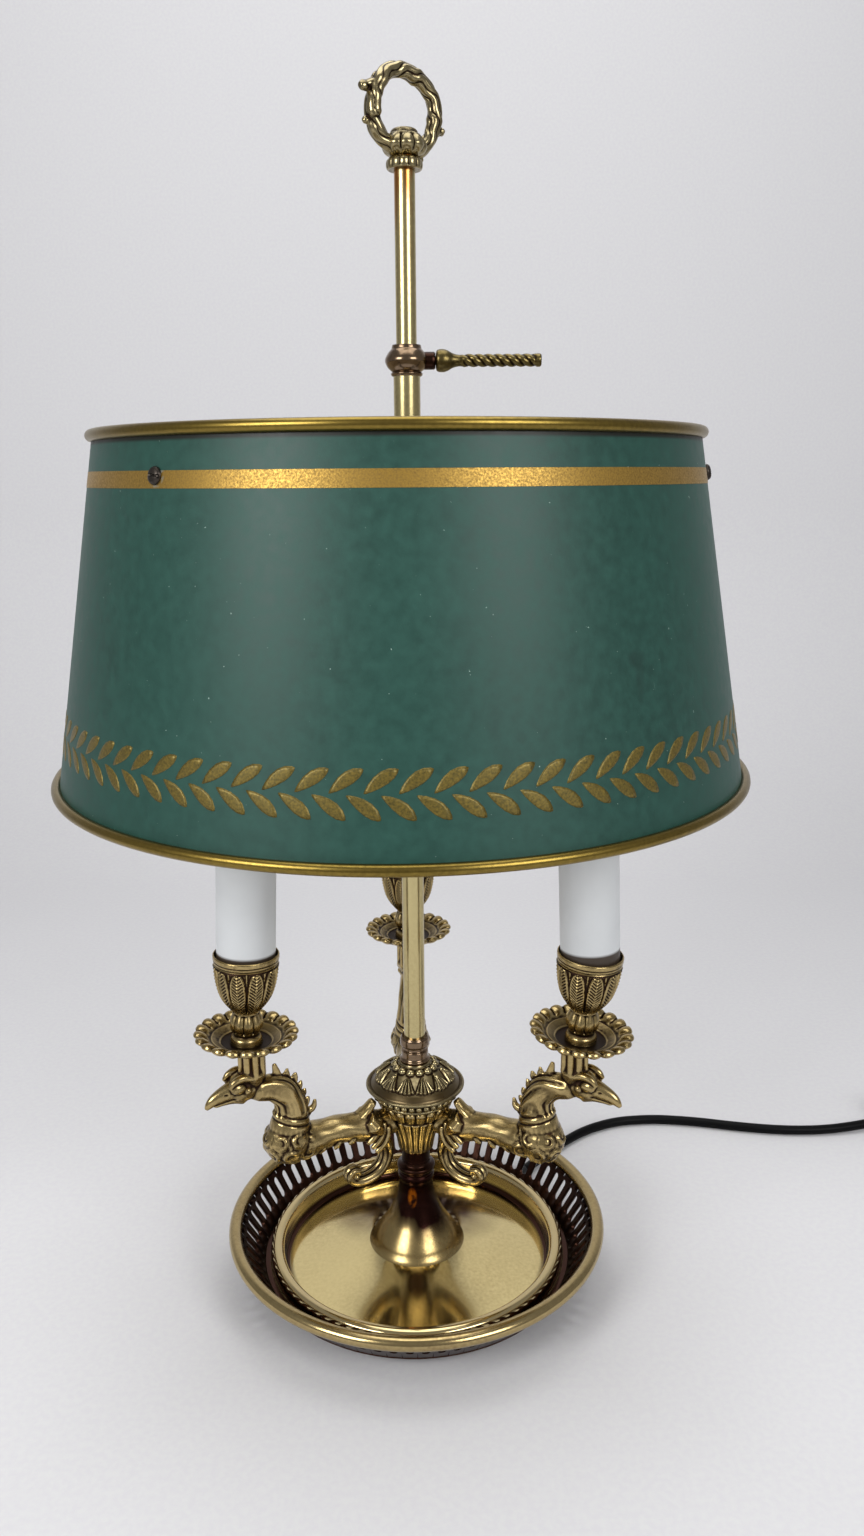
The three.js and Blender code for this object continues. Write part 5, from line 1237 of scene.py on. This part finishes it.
DRUM_LOW, DRUM_HIGH, SHEET = 263.0, 404.0, 0.8
drum_outline = [(shade_radius(height) - inwards, height) for height, inwards in (
    (DRUM_LOW, 0), (DRUM_HIGH, 0), (DRUM_HIGH, SHEET), (DRUM_LOW, SHEET))]
drum = turned("shade_sheet", evenly(np.array(drum_outline), 6), tole_paint, 240, closed=True, body="shade",
    sharp=40)
drum.data.materials.append(inside_paint)
for face in drum.data.polygons:
    centre = face.center
    if math.hypot(centre.x, centre.y) / MM < shade_radius(centre.z / MM) - 0.45:
        face.material_index = 1

def aside(made, node, slot="gilt_paint"):
    """Stands a piece of the shade where the shade stands, a little left of the rod."""
    made.data.transform(Matrix.Translation((SHADE_ASIDE * MM, 0, 0)))
    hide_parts(node)

def on_shade(angle, height, proud):
    """A point on the shade's outside, proud of it by that many millimetres."""
    radius = shade_radius(height) + proud
    return (radius * math.cos(angle), radius * math.sin(angle), height)

aside(drum, "shade_drum", "green_paint")
band_profile = [(shade_radius(385.0) - 0.1, 385.0), (shade_radius(385.0) + 0.12, 385.1),
    (shade_radius(391.2) + 0.12, 391.1), (shade_radius(391.2) - 0.1, 391.2)]
band = turned("gilt_band", evenly(np.array(band_profile), 2), gilt_paint, 240, closed=True, body="shade",
    sharp=40)
aside(band, "shade_drum")
print("drum faces:", len(drum.data.polygons))

# %% Leaf rows
LEAVES_A_ROW, LEAF_EDGE, LEAF_LENGTH, LEAF_WIDTH = 78, 14, 7.1, 2.7

def leaf_outline(tilt):
    """Points round a teardrop leaf, tilted by that many degrees: (sideways, up)."""
    cos_tilt, sin_tilt = math.cos(math.radians(tilt)), math.sin(math.radians(tilt))
    outline = []
    for k in range(LEAF_EDGE):
        t = 2 * math.pi * k / LEAF_EDGE
        along = LEAF_LENGTH * math.cos(t)
        wide = LEAF_WIDTH * math.sin(t) * (0.85 + 0.25 * math.cos(t)) * math.sqrt(abs(math.sin(t)))
        wide += 0.5 * math.sin(t) ** 2
        outline.append((along * cos_tilt - wide * sin_tilt, along * sin_tilt + wide * cos_tilt))
    return outline

def leaf_rows():
    """Two rows of painted leaves round the shade. Each is a low cushion with an edge and a top."""
    points, faces = [], []
    for tilt, middle_height, turned_on in ((35, 291.1, 0), (-35, 282.4, 0.5)):
        outline = leaf_outline(tilt)
        for i in range(LEAVES_A_ROW):
            middle = 2 * math.pi * (i + turned_on) / LEAVES_A_ROW
            first = len(points)
            for scale, proud in ((1, 0.10), (0.7, 0.16), (1, -0.1)):
                for sideways, up in outline:
                    height = middle_height + up * scale
                    points.append(on_shade(middle + sideways * scale / shade_radius(height), height, proud))
            edge, top, foot = (first + LEAF_EDGE * ring for ring in range(3))
            for k in range(LEAF_EDGE):
                n = (k + 1) % LEAF_EDGE
                faces.append((edge + k, edge + n, top + n, top + k))
                faces.append((foot + k, foot + n, edge + n, edge + k))
            faces.append(tuple(top + k for k in range(LEAF_EDGE)))
    return points, faces

leaf_points, leaf_faces = leaf_rows()
leaves = piece_of("gilt_leaves", leaf_points, leaf_faces, leaf_gilt, "shade")
aside(leaves, "shade_drum")
print("leaves:", len(leaf_faces) // (2 * LEAF_EDGE + 1))

# %% Rims, screws and spider
for end, middle in (("top", (126.35, 405)), ("bottom", (150.7, 262.3))):
    rim = turned("rim_%s_wire" % end, ring_arc(middle, 2.3, 0, 340, 17), rim_gilt, 240, closed=True,
                 body="shade", sharp=60)
    aside(rim, "shade_rim_" + end)

screw_profile = evenly(flowing([(1.5, -5.8), (1.5, -1), (1.5, 0.25), (3.1, 0.3), (3.2, 0.6), (3.0, 1.2),
    (2.2, 1.8), (1.0, 2.05), (0.3, 2.1)], 3), 0.3)

def slot_push(angle, along, r, z):
    """A screwdriver slot across the head."""
    return -0.9 * (np.abs(r * np.sin(angle)) < 0.35) * (z > 1.15)

for i, azimuth in enumerate(SCREW_TURNS):
    screw = turned("screw_%d" % (i + 1), screw_profile, dark_steel, 60, slot_push, body="shade", sharp=40)
    seat_place = Vector((shade_radius(SCREW_HEIGHT), 0, SCREW_HEIGHT)) * MM
    place = (Matrix.Rotation(math.radians(azimuth), 4, "Z") @ Matrix.Translation(seat_place)
             @ Matrix.Rotation(-math.atan(SHADE_SLOPE), 4, "Y") @ Matrix.Rotation(math.pi / 2, 4, "Y")
             @ Matrix.Rotation(math.radians(35 + 50 * i), 4, "Z"))
    screw.data.transform(place)
    aside(screw, "shade_screw_%d" % (i + 1), "dark_steel")
refinish("shade_spider", dark_steel)
print("rims and screws made")

# %% [markdown]
# ## Switch, plug and tie
#
# The switch is two moulded shells with a rocker, the plug a moulded body with two plated pins.
# Their solids already have the right shape, so they only get a finish. The strain relief where
# the cord leaves the foot is made new, with its grooves.

# %% Cord finish and strain relief
for cord in (lead_cord, coil_cord):
    cord.data.materials.append(cord_plastic)

outlet_profile = evenly(np.array([(2.6, 66.9), (2.6, 70.2), (3.5, 70.4), (3.6, 70.7), (3.55, 72),
    (2.9, 95.2), (2.75, 95.35)]), 0.6)

def relief_rings(angle, along, r, z):
    """Grooves round the strain relief, which let it bend."""
    return -0.35 * (np.cos((z - 74) * 2 * math.pi / 3.2) > 0.45) * (z > 75) * (z < 92)

outlet = turned("cord_strain_relief", outlet_profile, black_plastic, 48, relief_rings, sharp=50)
outlet.data.transform(Matrix.Rotation(math.radians(50), 4, "Z") @ Matrix.Translation((0, 0, 4 * MM))
    @ Matrix.Rotation(math.pi / 2, 4, "Y"))
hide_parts("cord_outlet")
print("strain relief length:", 95.35 - 70.4)

for node in ("cord_tie", "switch_body", "switch_cover", "switch_rocker", "plug_body"):
    refinish(node, black_plastic)
for node in ("plug_pin_1", "plug_pin_2"):
    refinish(node, zinc_steel)

# %% Update the scene
bpy.context.view_layer.update()

# %% Finish
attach(lead_cord, "base")
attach(coil_cord, "base")
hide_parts("cord_lead")
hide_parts("cord_tail", "cord_coil", "cord_end")
